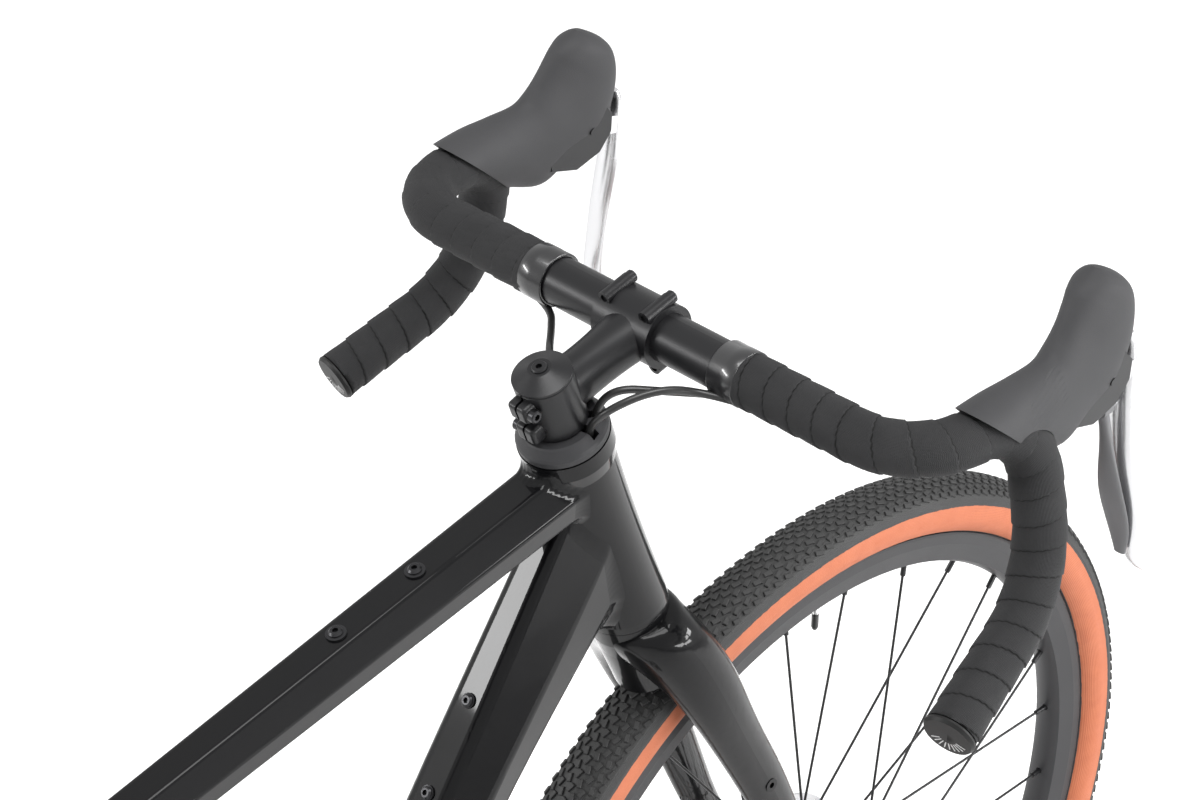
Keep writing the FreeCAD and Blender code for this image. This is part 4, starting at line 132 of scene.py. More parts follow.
FINISHES: dict[str, Finish] = {
    "frame_paint": Finish(
        (0.0025, 0.0025, 0.003), 0.34, coat=1.0, coat_roughness=0.03, specular=0.06, coat_ior=1.24,
        grain_scale=240.0, grain_depth=0.00002,
    ),
    "dropout_paint": Finish((0.012, 0.012, 0.013), 0.42),
    "black_alloy": Finish(
        (0.010, 0.010, 0.011), 0.36, 0.1, grain_scale=2600.0, grain_depth=0.00004, specular=0.3,
    ),
    "cover_grey": Finish(
        (0.030, 0.030, 0.032), 0.5, grain_scale=2200.0, grain_depth=0.00004, specular=0.3,
    ),
    "bolt_steel": Finish((0.03, 0.03, 0.032), 0.32, 0.8),
    "bearing_steel": Finish((0.5, 0.5, 0.52), 0.22, 1.0),
    "axle_steel": Finish((0.03, 0.03, 0.033), 0.35, 0.7),
    "caliper_black": Finish((0.014, 0.014, 0.015), 0.38, 0.2, grain_scale=1800.0, grain_depth=0.00004),
    "hose_black": Finish((0.012, 0.012, 0.012), 0.33),
    "tape": Finish((0.022, 0.022, 0.023), 0.78, grain_scale=1500.0, grain_depth=0.0004, mottle=0.25),
    "plug_plastic": Finish((0.008, 0.008, 0.008), 0.5, specular=0.25),
    "hood_rubber": Finish((0.040, 0.040, 0.042), 0.68, grain_scale=3000.0, grain_depth=0.00005),
    "bracket_plastic": Finish(
        (0.010, 0.010, 0.011), 0.4, specular=0.35, grain_scale=1900.0, grain_depth=0.00003,
    ),
    "lever_alloy": Finish((0.62, 0.62, 0.63), 0.26, 1.0, grain_scale=1800.0, grain_depth=0.00002),
    "paddle_grey": Finish((0.13, 0.13, 0.135), 0.42),
    "rim_grey": Finish(
        (0.026, 0.026, 0.028), 0.46, 0.1, grain_scale=1500.0, grain_depth=0.00004, specular=0.35,
    ),
    "spoke_steel": Finish((0.014, 0.014, 0.015), 0.36, 0.5),
    "rotor_steel": Finish((0.58, 0.58, 0.59), 0.30, 1.0, grain_scale=1300.0, grain_depth=0.00003),
    "chain_steel": Finish((0.42, 0.42, 0.43), 0.30, 1.0),
    "cog_steel": Finish((0.36, 0.36, 0.37), 0.30, 1.0),
    "ring_alloy": Finish((0.018, 0.018, 0.019), 0.36, 0.3),
    "pedal_plastic": Finish((0.018, 0.018, 0.019), 0.55, grain_scale=1500.0, grain_depth=0.0001),
    "derailleur_alloy": Finish((0.06, 0.06, 0.063), 0.36, 0.6),
    "pulley_plastic": Finish((0.014, 0.014, 0.014), 0.5),
    "knob_rubber": Finish((0.016, 0.016, 0.016), 0.6, grain_scale=900.0, grain_depth=0.0001),
    "finishing_band": Finish(
        (0.010, 0.010, 0.011), 0.28, coat=0.4, grain_scale=300.0, grain_depth=0.00006,
    ),
    "plug_lines": Finish((0.62, 0.62, 0.62), 0.5),
    "saddle_cover": Finish((0.014, 0.014, 0.015), 0.5, grain_scale=900.0, grain_depth=0.0002),
    "rail_steel": Finish((0.05, 0.05, 0.052), 0.3, 0.8),
}


class NodeGraph:
    """A new material, with a short way to wire its nodes."""

    def __init__(self, name: str) -> None:
        self.material = bpy.data.materials.new(name)
        self.material.use_nodes = True
        self.tree = self.material.node_tree
        self.shader = self.tree.nodes["Principled BSDF"]

    def add(self, kind: str, **settings: object) -> bpy.types.Node:
        """Make one node.

        Args:
            kind: The node's type name.
            settings: Attributes to set on it.
        Returns:
            The new node.
        """
        node = self.tree.nodes.new(kind)
        for key, value in settings.items():
            setattr(node, key, value)
        return node

    def link(self, source: bpy.types.NodeSocket, target: bpy.types.NodeSocket) -> None:
        """Join two sockets."""
        self.tree.links.new(source, target)

    def math(self, operation: str, *values: object) -> bpy.types.NodeSocket:
        """A math node over sockets and numbers.

        Args:
            operation: The math node's operation.
            values: Sockets or numbers, in order.
        Returns:
            The node's result socket.
        """
        node = self.add("ShaderNodeMath", operation=operation)
        for index, value in enumerate(values):
            if isinstance(value, bpy.types.NodeSocket):
                self.link(value, node.inputs[index])
            else:
                node.inputs[index].default_value = value
        return node.outputs[0]

    def coordinates(self, offset: Optional[Vector] = None) -> bpy.types.NodeSocket:
        """Object coordinates, counted from a point.

        Args:
            offset: The point, in metres, or None for the origin.
        Returns:
            A vector socket.
        """
        place = self.add("ShaderNodeTexCoord").outputs["Object"]
        if offset is None:
            return place
        shift = self.add("ShaderNodeVectorMath", operation="SUBTRACT")
        self.link(place, shift.inputs[0])
        shift.inputs[1].default_value = offset
        return shift.outputs[0]

    def noise(self, scale: float, detail: float = 3.0) -> bpy.types.NodeSocket:
        """A noise value over the object.

        Args:
            scale: The noise's scale, per metre.
            detail: Its detail.
        Returns:
            The value socket.
        """
        texture = self.add("ShaderNodeTexNoise")
        texture.inputs["Scale"].default_value = scale
        texture.inputs["Detail"].default_value = detail
        self.link(self.coordinates(), texture.inputs["Vector"])
        return texture.outputs["Fac"]

    def bump(self, height: bpy.types.NodeSocket, depth: float) -> None:
        """Drive the shader's normal by a height.

        Args:
            height: The height socket, from 0 to 1.
            depth: The full height, in metres.
        """
        node = self.add("ShaderNodeBump")
        node.inputs["Distance"].default_value = depth
        node.inputs["Strength"].default_value = 1.0
        self.link(height, node.inputs["Height"])
        self.link(node.outputs["Normal"], self.shader.inputs["Normal"])

    def smear(self, roughness: float, spread: float) -> None:
        """Let the shader's roughness wander a little, as handled surfaces do.

        Args:
            roughness: The mean roughness.
            spread: How far it wanders to each side.
        """
        wander = self.math("MULTIPLY_ADD", self.noise(SMEAR_SCALE, 4.0), 2 * spread, roughness - spread)
        self.link(wander, self.shader.inputs["Roughness"])

    def window(
        self, value: bpy.types.NodeSocket, low: float, high: float, soft: float
    ) -> bpy.types.NodeSocket:
        """One inside a span and nought outside, with soft ends.

        Args:
            value: The value to look at.
            low: The span's start.
            high: The span's end.
            soft: The width of each end.
        Returns:
            The mask socket.
        """
        ends = []
        for start, finish in ((low - soft, low + soft), (high + soft, high - soft)):
            ramp = self.add("ShaderNodeMapRange", interpolation_type="SMOOTHSTEP")
            ramp.inputs["From Min"].default_value = start
            ramp.inputs["From Max"].default_value = finish
            self.link(value, ramp.inputs["Value"])
            ends.append(ramp.outputs["Result"])
        return self.math("MULTIPLY", *ends)

    def split(self, vector: bpy.types.NodeSocket) -> tuple[bpy.types.NodeSocket, ...]:
        """The three numbers of a vector."""
        node = self.add("ShaderNodeSeparateXYZ")
        self.link(vector, node.inputs[0])
        return tuple(node.outputs[axis] for axis in "XYZ")

    def radius(self, centre: Vector) -> bpy.types.NodeSocket:
        """Distance from a wheel's axle, in metres."""
        forward, _, up = self.split(self.coordinates(centre))
        squares = [self.math("MULTIPLY", value, value) for value in (forward, up)]
        return self.math("SQRT", self.math("ADD", *squares))

    def blend(self, factor: bpy.types.NodeSocket, first: object, second: Colour) -> bpy.types.NodeSocket:
        """A colour between two, by a factor.

        Args:
            factor: The mix, from 0 to 1.
            first: The colour at 0, or a socket that gives it.
            second: The colour at 1.
        Returns:
            The colour socket.
        """
        mix = self.add("ShaderNodeMix", data_type="RGBA")
        self.link(factor, mix.inputs["Factor"])
        if isinstance(first, bpy.types.NodeSocket):
            self.link(first, mix.inputs["A"])
        else:
            mix.inputs["A"].default_value = (*first, 1.0)
        mix.inputs["B"].default_value = (*second, 1.0)
        return mix.outputs["Result"]


class MaterialShop:
    """Every material of the bike, made once and kept by name."""

    def __init__(self) -> None:
        self.made: dict[str, bpy.types.Material] = {}

    def plain(self, name: str) -> bpy.types.Material:
        """A material from a plain finish.

        Args:
            name: The finish's name in the table, which the material takes.
        Returns:
            The material.
        """
        if name in self.made:
            return self.made[name]
        finish = FINISHES[name]
        graph = NodeGraph(name)
        shader = graph.shader
        shader.inputs["Base Color"].default_value = (*finish.colour, 1.0)
        shader.inputs["Roughness"].default_value = finish.roughness
        shader.inputs["Metallic"].default_value = finish.metallic
        shader.inputs["Coat Weight"].default_value = finish.coat
        shader.inputs["Coat Roughness"].default_value = finish.coat_roughness
        shader.inputs["Coat IOR"].default_value = finish.coat_ior
        shader.inputs["Specular IOR Level"].default_value = finish.specular
        graph.smear(finish.roughness, finish.smear)
        if finish.mottle:
            darker = tuple(c * (1 - finish.mottle) for c in finish.colour)
            lighter = tuple(c * (1 + finish.mottle) for c in finish.colour)
            colour = graph.blend(graph.noise(MOTTLE_SCALE, 4.0), darker, lighter)
            graph.link(colour, shader.inputs["Base Color"])
        if finish.grain_depth:
            graph.bump(graph.noise(finish.grain_scale), finish.grain_depth)
        self.made[name] = graph.material
        return graph.material

    def tyre(self, wheel: Wheel) -> bpy.types.Material:
        """Black tread over a tan side wall, told apart by the distance from the axle.

        Args:
            wheel: The wheel that the tyre is on.
        Returns:
            The material.
        """
        graph = NodeGraph(f"tyre_{wheel.value}")
        radius = graph.radius(wheel.centre)
        ragged = graph.math("MULTIPLY_ADD", graph.noise(260.0), EDGE_WANDER, -EDGE_WANDER / 2)
        edge = graph.math("ADD", radius, ragged)
        tread = graph.math("GREATER_THAN", edge, TREAD_EDGE)
        bead = graph.math("LESS_THAN", radius, BEAD_EDGE)
        dark = graph.math("MAXIMUM", tread, bead)
        gum = graph.blend(graph.noise(90.0, 5.0), (0.40, 0.105, 0.042), (0.50, 0.150, 0.066))
        colour = graph.blend(dark, gum, (0.017, 0.017, 0.017))
        graph.link(colour, graph.shader.inputs["Base Color"])
        graph.smear(0.62, 0.08)
        threads = graph.math("SINE", graph.math("MULTIPLY", radius, CASING_THREADS))
        weave = graph.math("MULTIPLY_ADD", threads, 0.35, graph.noise(900.0))
        graph.bump(weave, 0.00018)
        return graph.material

    def valve(self, wheel: Wheel) -> bpy.types.Material:
        """Bright stem with a black cap at its inner end.

        Args:
            wheel: The wheel that the valve is on.
        Returns:
            The material.
        """
        graph = NodeGraph(f"valve_{wheel.value}")
        radius = graph.radius(wheel.centre)
        cap = graph.math("LESS_THAN", radius, VALVE_CAP_EDGE)
        colour = graph.blend(cap, (0.62, 0.62, 0.62), (0.012, 0.012, 0.012))
        graph.link(colour, graph.shader.inputs["Base Color"])
        graph.link(graph.math("SUBTRACT", 1.0, cap), graph.shader.inputs["Metallic"])
        graph.smear(0.3, 0.05)
        thread = graph.math("SINE", graph.math("MULTIPLY", radius, FULL_TURN / VALVE_THREAD))
        graph.bump(thread, 0.00012)
        return graph.material

    def tape(self) -> bpy.types.Material:
        """Dark embossed bar tape, whose pattern follows its own winding, with painted shade in the seam
        under each turn's edge.

        Returns:
            The material.
        """
        graph = NodeGraph("wound_tape")
        along, across, _ = graph.split(graph.add("ShaderNodeUVMap", uv_map="winding").outputs["UV"])
        pitch = FULL_TURN / EMBOSS_PITCH
        first = graph.math("SINE", graph.math("MULTIPLY", graph.math("ADD", along, across), pitch))
        second = graph.math("SINE", graph.math("MULTIPLY", graph.math("SUBTRACT", along, across), pitch))
        dimples = graph.math("MULTIPLY", first, second)
        # Painted shade: the strip at the foot of each turn, tucked under the edge of the turn before, is
        # marked here.
        edge = graph.math("LESS_THAN", across, SEAM_SHADE_WIDTH)
        wear = graph.noise(34.0, 5.0)
        base = graph.blend(wear, (0.016, 0.016, 0.017), (0.030, 0.030, 0.031))
        # The seam strip takes a near-black colour, painted shade in the crease between turns.
        colour = graph.blend(edge, base, (0.008, 0.008, 0.008))
        graph.link(colour, graph.shader.inputs["Base Color"])
        graph.shader.inputs["Specular IOR Level"].default_value = 0.22
        graph.smear(0.66, 0.1)
        height = graph.math("MULTIPLY_ADD", dimples, 0.5, graph.math("MULTIPLY", graph.noise(700.0), 0.7))
        graph.bump(height, 0.00035)
        return graph.material

    def hood(self) -> bpy.types.Material:
        """Matte rubber with a fine stipple, and grip lines on the outer side near the bar.

        Returns:
            The material.
        """
        graph = NodeGraph("hood_rubber")
        forward, side, up = graph.split(graph.coordinates(BAR_MIDDLE))
        slant = graph.math("MULTIPLY_ADD", forward, GRIP_SLANT, up)
        span = graph.window(slant, -0.026, -0.004, 0.001)
        length = graph.window(forward, 0.080, 0.112, 0.003)
        outer = graph.window(graph.math("ABSOLUTE", side), 0.231, 0.26, 0.002)
        lines = graph.math("SINE", graph.math("MULTIPLY", slant, FULL_TURN / GRIP_PITCH))
        cuts = graph.math("GREATER_THAN", lines, GRIP_CUT)
        for mask in (span, length, outer):
            cuts = graph.math("MULTIPLY", cuts, mask)
        stipple = graph.noise(1600.0, 2.0)
        colour = graph.blend(graph.noise(30.0, 5.0), (0.034, 0.034, 0.036), (0.046, 0.046, 0.048))
        graph.link(colour, graph.shader.inputs["Base Color"])
        graph.shader.inputs["Specular IOR Level"].default_value = 0.3
        graph.smear(0.66, 0.07)
        graph.bump(graph.math("MULTIPLY_ADD", stipple, 0.16, graph.math("MULTIPLY", cuts, -1.0)), 0.0007)
        return graph.material


def paint_nodes(frame: dict, shop: MaterialShop) -> None:
    """Give each CAD node its slot's material.

    Args:
        shop: The material shop.
    """
    for row in frame["record"]["subparts"]:
        node = frame["nodes"][row["node"]]
        slot = row["material_slot"]
        wheel = Wheel.FRONT if row["node"].startswith("front") else Wheel.REAR
        if slot == "tyre_rubber":
            material = shop.tyre(wheel)
        elif slot == "valve_metal":
            material = shop.valve(wheel)
        else:
            material = shop.plain(slot)
        node.data.materials.clear()
        node.data.materials.append(material)


@dataclass
class Mesh:
    """Points and faces gathered for one piece."""

    points: list[Vector] = field(default_factory=list)
    faces: list[tuple[int, ...]] = field(default_factory=list)
    corner_uvs: list[tuple[float, float]] = field(default_factory=list)
    uv_name: str = "surface"

    @classmethod
    def block(cls, length: float, width: float, levels: tuple[tuple[float, float, float], ...]) -> "Mesh":
        """A low block along X, open below.

        Args:
            length: Its length, in millimetres.
            width: Its width, in millimetres.
            levels: Height, share of the length and share of the width at each of three levels.
        Returns:
            The mesh.
        """
        mesh = cls()
        for z, long, wide in levels:
            for sx, sy in SQUARE:
                mesh.points.append(Vector((sx * length / 2 * long, sy * width / 2 * wide, z)) * MM)
        for level in (0, 4):
            for i in range(4):
                j = (i + 1) % 4
                mesh.faces.append((level + i, level + j, level + 4 + j, level + 4 + i))
        mesh.faces.append((8, 9, 10, 11))
        return mesh

    def sides(self, rows: int, columns: int) -> None:
        """Join rings of points into an open tube.

        Args:
            rows: How many rings there are.
            columns: How many points each ring has.
        """
        for row in range(rows - 1):
            for column in range(columns):
                after = (column + 1) % columns
                corners = ((row, column), (row + 1, column), (row + 1, after), (row, after))
                self.faces.append(tuple(r * columns + c for r, c in corners))

    def tube(self, rows: int, columns: int) -> None:
        """Join rings of points into a closed tube with flat ends.

        Args:
            rows: How many rings there are.
            columns: How many points each ring has.
        """
        self.sides(rows, columns)
        self.faces.append(tuple(range(columns)))
        self.faces.append(tuple(reversed(range((rows - 1) * columns, rows * columns))))

    def mirrored(self) -> "Mesh":
        """The same mesh on the bike's other side."""
        points = [Vector((p.x, -p.y, p.z)) for p in self.points]
        faces = [tuple(reversed(face)) for face in self.faces]
        uvs: list[tuple[float, float]] = []
        start = 0
        for face in self.faces:
            uvs += list(reversed(self.corner_uvs[start:start + len(face)]))
            start += len(face)
        return Mesh(points, faces, uvs, self.uv_name)

    def piece(self, name: str, material: bpy.types.Material, smooth: bool = True) -> bpy.types.Object:
        """Make a Blender object from the mesh.

        Args:
            name: The piece's name.
            material: Its material.
            smooth: Whether its faces are shaded smooth.
        Returns:
            The linked object.
        """
        data = bpy.data.meshes.new(name)
        data.from_pydata([tuple(p) for p in self.points], [], self.faces)
        data.materials.append(material)
        if self.corner_uvs:
            layer = data.uv_layers.new(name=self.uv_name)
            layer.data.foreach_set("uv", [a for uv in self.corner_uvs for a in uv])
        data.update()
        if smooth:
            data.shade_smooth()
        piece = bpy.data.objects.new(name, data)
        bpy.context.scene.collection.objects.link(piece)
        return piece


def settle(piece: bpy.types.Object) -> None:
    """Keep a piece's finished mesh in place of its modifiers."""
    graph = bpy.context.evaluated_depsgraph_get()
    finished = bpy.data.meshes.new_from_object(piece.evaluated_get(graph))
    piece.modifiers.clear()
    piece.data = finished


class Scatter:
    """Copies of one small form at many places, by a node group that is then baked to a mesh."""

    def __init__(self, name: str, form: Mesh, material: bpy.types.Material) -> None:
        self.name = name
        self.form = form
        self.material = material
        self.places: list[Vector] = []
        self.turns: list[Euler] = []

    def put(self, frame: Matrix) -> None:
        """Add one copy.

        Args:
            frame: The copy's place and turn.
        """
        self.places.append(frame.to_translation())
        self.turns.append(frame.to_euler())

    def _group(self, form: bpy.types.Object) -> bpy.types.NodeTree:
        """The node group that sets the copies on the points."""
        group = bpy.data.node_groups.new(f"{self.name}_scatter", "GeometryNodeTree")
        group.interface.new_socket("Geometry", in_out="INPUT", socket_type="NodeSocketGeometry")
        group.interface.new_socket("Form", in_out="INPUT", socket_type="NodeSocketObject")
        group.interface.new_socket("Material", in_out="INPUT", socket_type="NodeSocketMaterial")
        group.interface.new_socket("Geometry", in_out="OUTPUT", socket_type="NodeSocketGeometry")
        nodes = group.nodes
        start = nodes.new("NodeGroupInput")
        end = nodes.new("NodeGroupOutput")
        info = nodes.new("GeometryNodeObjectInfo")
        turn = nodes.new("GeometryNodeInputNamedAttribute")
        turn.data_type = "FLOAT_VECTOR"
        turn.inputs["Name"].default_value = "turn"
        copies = nodes.new("GeometryNodeInstanceOnPoints")
        solid = nodes.new("GeometryNodeRealizeInstances")
        dress = nodes.new("GeometryNodeSetMaterial")
        link = group.links.new
        link(start.outputs["Geometry"], copies.inputs["Points"])
        link(start.outputs["Form"], info.inputs["Object"])
        link(info.outputs["Geometry"], copies.inputs["Instance"])
        link(turn.outputs["Attribute"], copies.inputs["Rotation"])
        link(copies.outputs["Instances"], solid.inputs["Geometry"])
        link(solid.outputs["Geometry"], dress.inputs["Geometry"])
        link(start.outputs["Material"], dress.inputs["Material"])
        link(dress.outputs["Geometry"], end.inputs["Geometry"])
        return group

    def bake(self) -> bpy.types.Object:
        """Make the piece that holds every copy.

        Returns:
            A plain mesh object.
        """
        form = self.form.piece(f"{self.name}_form", self.material, smooth=False)
        seed = bpy.data.meshes.new(f"{self.name}_points")
        seed.from_pydata([tuple(p) for p in self.places], [], [])
        turns = seed.attributes.new("turn", "FLOAT_VECTOR", "POINT")
        turns.data.foreach_set("vector", [a for turn in self.turns for a in turn])
        piece = bpy.data.objects.new(self.name, seed)
        bpy.context.scene.collection.objects.link(piece)
        modifier = piece.modifiers.new("scatter", "NODES")
        modifier.node_group = self._group(form)
        values = {"Form": form, "Material": self.material}
        for item in modifier.node_group.interface.items_tree:
            if item.in_out == "INPUT" and item.name in values:
                modifier[item.identifier] = values[item.name]
        piece.update_tag()
        bpy.context.view_layer.update()
        settle(piece)
        bpy.data.objects.remove(form)
        LOG.info("%s: %d copies, %d faces", self.name, len(self.places), len(piece.data.polygons))
        return piece


@dataclass(frozen=True)
class Tread:
    """The knobs of a tyre, in millimetres and degrees."""

    rows: tuple[float, ...] = (-18.0, -13.6, -9.2, -4.6, 0.0, 4.6, 9.2, 13.6, 18.0)
    around: int = 212
    length: float = 6.4
    width: float = 3.3
    height: float = 1.35
    crown_radius: float = 30.1
    tyre_radius: float = 356.0
    root: float = -0.6
    skew: float = 18.0

    def block(self) -> Mesh:
        """One knob: a low block with drawn-in sides."""
        levels = ((self.root, 1.0, 1.0), (self.height * 0.7, 0.95, 0.95), (self.height, 0.78, 0.78))
        return Mesh.block(self.length, self.width, levels)

    def dress(self, wheel: Wheel, material: bpy.types.Material) -> bpy.types.Object:
        """Set the knobs round a wheel's tyre.

        Args:
            wheel: The wheel.
            material: The knobs' rubber.
        Returns:
            The piece, riding on the wheel.
        """
        scatter = Scatter(f"{wheel.value}_knobs", self.block(), material)
        centre = wheel.centre
        for number, y in enumerate(self.rows):
            lean = math.asin(y / self.crown_radius)
            drop = self.crown_radius - math.sqrt(self.crown_radius**2 - y**2)
            radius = self.tyre_radius - drop
            for i in range(self.around):
                turn = (i + 0.5 * (number % 2)) * FULL_TURN / self.around
                spin = Matrix.Rotation(turn, 4, "Y")
                skew = Matrix.Rotation(math.radians(self.skew if number % 2 else -self.skew), 4, "Z")
                seat = Matrix.Translation(Vector((0, y, radius)) * MM)
                local = seat @ Matrix.Rotation(-lean, 4, "X") @ skew
                scatter.put(Matrix.Translation(centre) @ spin @ local)
        piece = scatter.bake()
        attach(piece, wheel.body)
        return piece


@dataclass(frozen=True)
class Station:
    """One place along the bar, with two directions across it."""

    place: Vector
    side: Vector
    over: Vector

    def ring_point(self, radius: float, lead: float) -> Vector:
        """A point round the bar, in metres.

        Args:
            radius: Its distance from the bar's middle line, in millimetres.
            lead: Its place round the bar, from 0 to 1.
        Returns:
            The point.
        """
        turn = FULL_TURN * lead
        offset = self.side * (radius * math.cos(turn)) + self.over * (radius * math.sin(turn))
        return BAR_MIDDLE + (self.place + offset) * MM


@dataclass(frozen=True)
class BarPath:
    """The left half of the handlebar's middle line: straight runs and round bends, in millimetres."""

    corners: tuple[tuple[float, float, float], ...] = ((0, 216, 0), (91.5, 229, 0), (91.5, 253, -111))
    bends: tuple[float, ...] = (48.0, 42.0, 75.0)
    end: tuple[float, float, float] = (-17, 272, -155)
    bend_steps: int = 60

    def places(self, step: float = 1.0) -> list[Vector]:
        """Evenly spaced points along the line.

        Args:
            step: Their spacing.
        Returns:
            The points, from the bar's middle to its end.
        """
        dense = [Vector((0.0, 0.0, 0.0))]
        knots = [Vector((0.0, 0.0, 0.0))] + [Vector(c) for c in self.corners] + [Vector(self.end)]
        for before, corner, after, bend in zip(knots, knots[1:], knots[2:], self.bends):
            back = (before - corner).normalized()
            ahead = (after - corner).normalized()
            half = back.angle(ahead) / 2
            hub = corner + (back + ahead).normalized() * (bend / math.sin(half))
            start = (corner + back * (bend / math.tan(half)) - hub).normalized()
            finish = (corner + ahead * (bend / math.tan(half)) - hub).normalized()
            shares = [i / self.bend_steps for i in range(self.bend_steps + 1)]
            dense += [hub + start.slerp(finish, share) * bend for share in shares]
        dense.append(knots[-1])
        return self._even(dense, step)

    @staticmethod
    def _even(dense: list[Vector], step: float) -> list[Vector]:
        """The same line, with points at even distances."""
        even = [dense[0]]
        wanted = step
        walked = 0.0
        for first, second in zip(dense, dense[1:]):
            length = (second - first).length
            while length > 0 and walked + length >= wanted:
                even.append(first.lerp(second, (wanted - walked) / length))
                wanted += step
            walked += length
        even.append(dense[-1])
        return even

    def stations(self) -> list[Station]:
        """Places one millimetre apart, with directions that don't twist."""
        places = self.places()
        over = Vector((0.0, 0.0, 1.0))
        found = []
        for i, place in enumerate(places):
            along = (places[min(i + 1, len(places) - 1)] - places[max(i - 1, 0)]).normalized()
            over = (over - along * over.dot(along)).normalized()
            found.append(Station(place, along.cross(over), over))
        return found


@dataclass(frozen=True)
class BarTape:
    """Bar tape wound in overlapping turns, with a smooth finishing band, in millimetres."""

    band_start: float = 71.0
    band_width: float = 20.0
    band_radius: float = 18.15
    radius: float = 17.0
    start_extra: float = 1.0
    lap: float = 0.9
    swell: float = 0.12
    pitch: float = 19.0
    bar_radius: float = 12.2
    band_lips: tuple[float, float] = (16.2, 13.0)
    tuck: float = 4.0
    fade_turns: int = 4
    columns: int = 64
    shares: tuple[float, ...] = (0.0, 0.05, 0.25, 0.5, 0.75, 0.93, 0.985)

    def winding(self) -> Mesh:
        """The wound tape on the left half of the bar."""
        stations = BarPath().stations()
        first = self.band_start + self.band_width - self.tuck
        last = float(len(stations) - 2)
        turns = math.ceil((last - first) / self.pitch) + 1
        mesh = Mesh(uv_name="winding")
        rows: list[tuple[float, float]] = []
        for turn in range(turns + 1):
            rows += [(turn + share, share) for share in self.shares]
        for place, share in rows:
            for column in range(self.columns):
                lead = column / self.columns
                distance = min(max(first + self.pitch * (place - 1.0 + lead), first), last)
                fade = max(0.0, 1.0 - (distance - first) / (self.fade_turns * self.pitch))
                bulge = self.swell * math.sin(math.pi * share)
                radius = self.radius + self.start_extra * fade - self.lap * (1.0 - share) + bulge
                mesh.points.append(stations[round(distance)].ring_point(radius, lead))
        for row in range(len(rows) - 1):
            for column in range(self.columns):
                self._face(mesh, rows, row, column)
        self._cap(mesh, stations[round(first)], 0)
        self._cap(mesh, stations[round(last)], len(rows) - 1)
        return mesh

    def _face(self, mesh: Mesh, rows: list[tuple[float, float]], row: int, column: int) -> None:
        """One patch of the winding, joined to the next turn where the ring closes."""
        after = (column + 1) % self.columns
        jump = len(self.shares) if after == 0 else 0
        if row + 1 + jump >= len(rows):
            jump = 0
        corners = ((row, column), (row + 1, column), (row + 1 + jump, after), (row + jump, after))
        mesh.faces.append(tuple(r * self.columns + c for r, c in corners))
        around = FULL_TURN * self.radius
        for number, (r, c) in enumerate(corners):
            lead = 1.0 if number >= 2 and after == 0 else c / self.columns
            share = rows[row][1] if number in (0, 3) else (rows[row + 1][1] or 1.0)
            mesh.corner_uvs.append((lead * around, share * self.pitch))

    def _cap(self, mesh: Mesh, station: Station, row: int) -> None:
        """Close one end of the winding down to the bar."""
        base = len(mesh.points)
        for column in range(self.columns):
            mesh.points.append(station.ring_point(self.bar_radius, column / self.columns))
        for column in range(self.columns):
            after = (column + 1) % self.columns
            face = (row * self.columns + column, row * self.columns + after, base + after, base + column)
            mesh.faces.append(face if row == 0 else tuple(reversed(face)))
            mesh.corner_uvs += [(0.0, 0.0)] * 4

    def band(self) -> Mesh:
        """The smooth band that holds the tape's end near the stem."""
        seat = BarPath().stations()[round(self.band_start)]
        mesh = Mesh()
        outer, width = self.band_radius, self.band_width
        profile = (
            (0.0, self.band_lips[0]), (0.0, outer - 0.25), (0.4, outer), (9.6, outer - 0.15),
            (10.0, outer + 0.05), (width - 0.4, outer + 0.05),
            (width, outer - 0.2), (width, self.band_lips[1]),
        )
        for along, radius in profile:
            station = Station(seat.place + Vector((0.0, along, 0.0)), seat.side, seat.over)
            mesh.points += [station.ring_point(radius, c / self.columns) for c in range(self.columns)]
        mesh.sides(len(profile), self.columns)
        return mesh

    def dress(self, shop: MaterialShop) -> None:
        """Wind both halves of the bar.

        Args:
            shop: The material shop.
        """
        for name, form, finish in (
            ("tape", self.winding(), shop.tape()),
            ("finishing_band", self.band(), shop.plain("finishing_band")),
        ):
            for side, mesh in (("left", form), ("right", form.mirrored())):
                piece = mesh.piece(f"{side}_{name}", finish)
                outward(piece)
                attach(piece, "steering")
                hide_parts("bar_tape")
                LOG.info("%s %s: %d faces", side, name, len(piece.data.polygons))


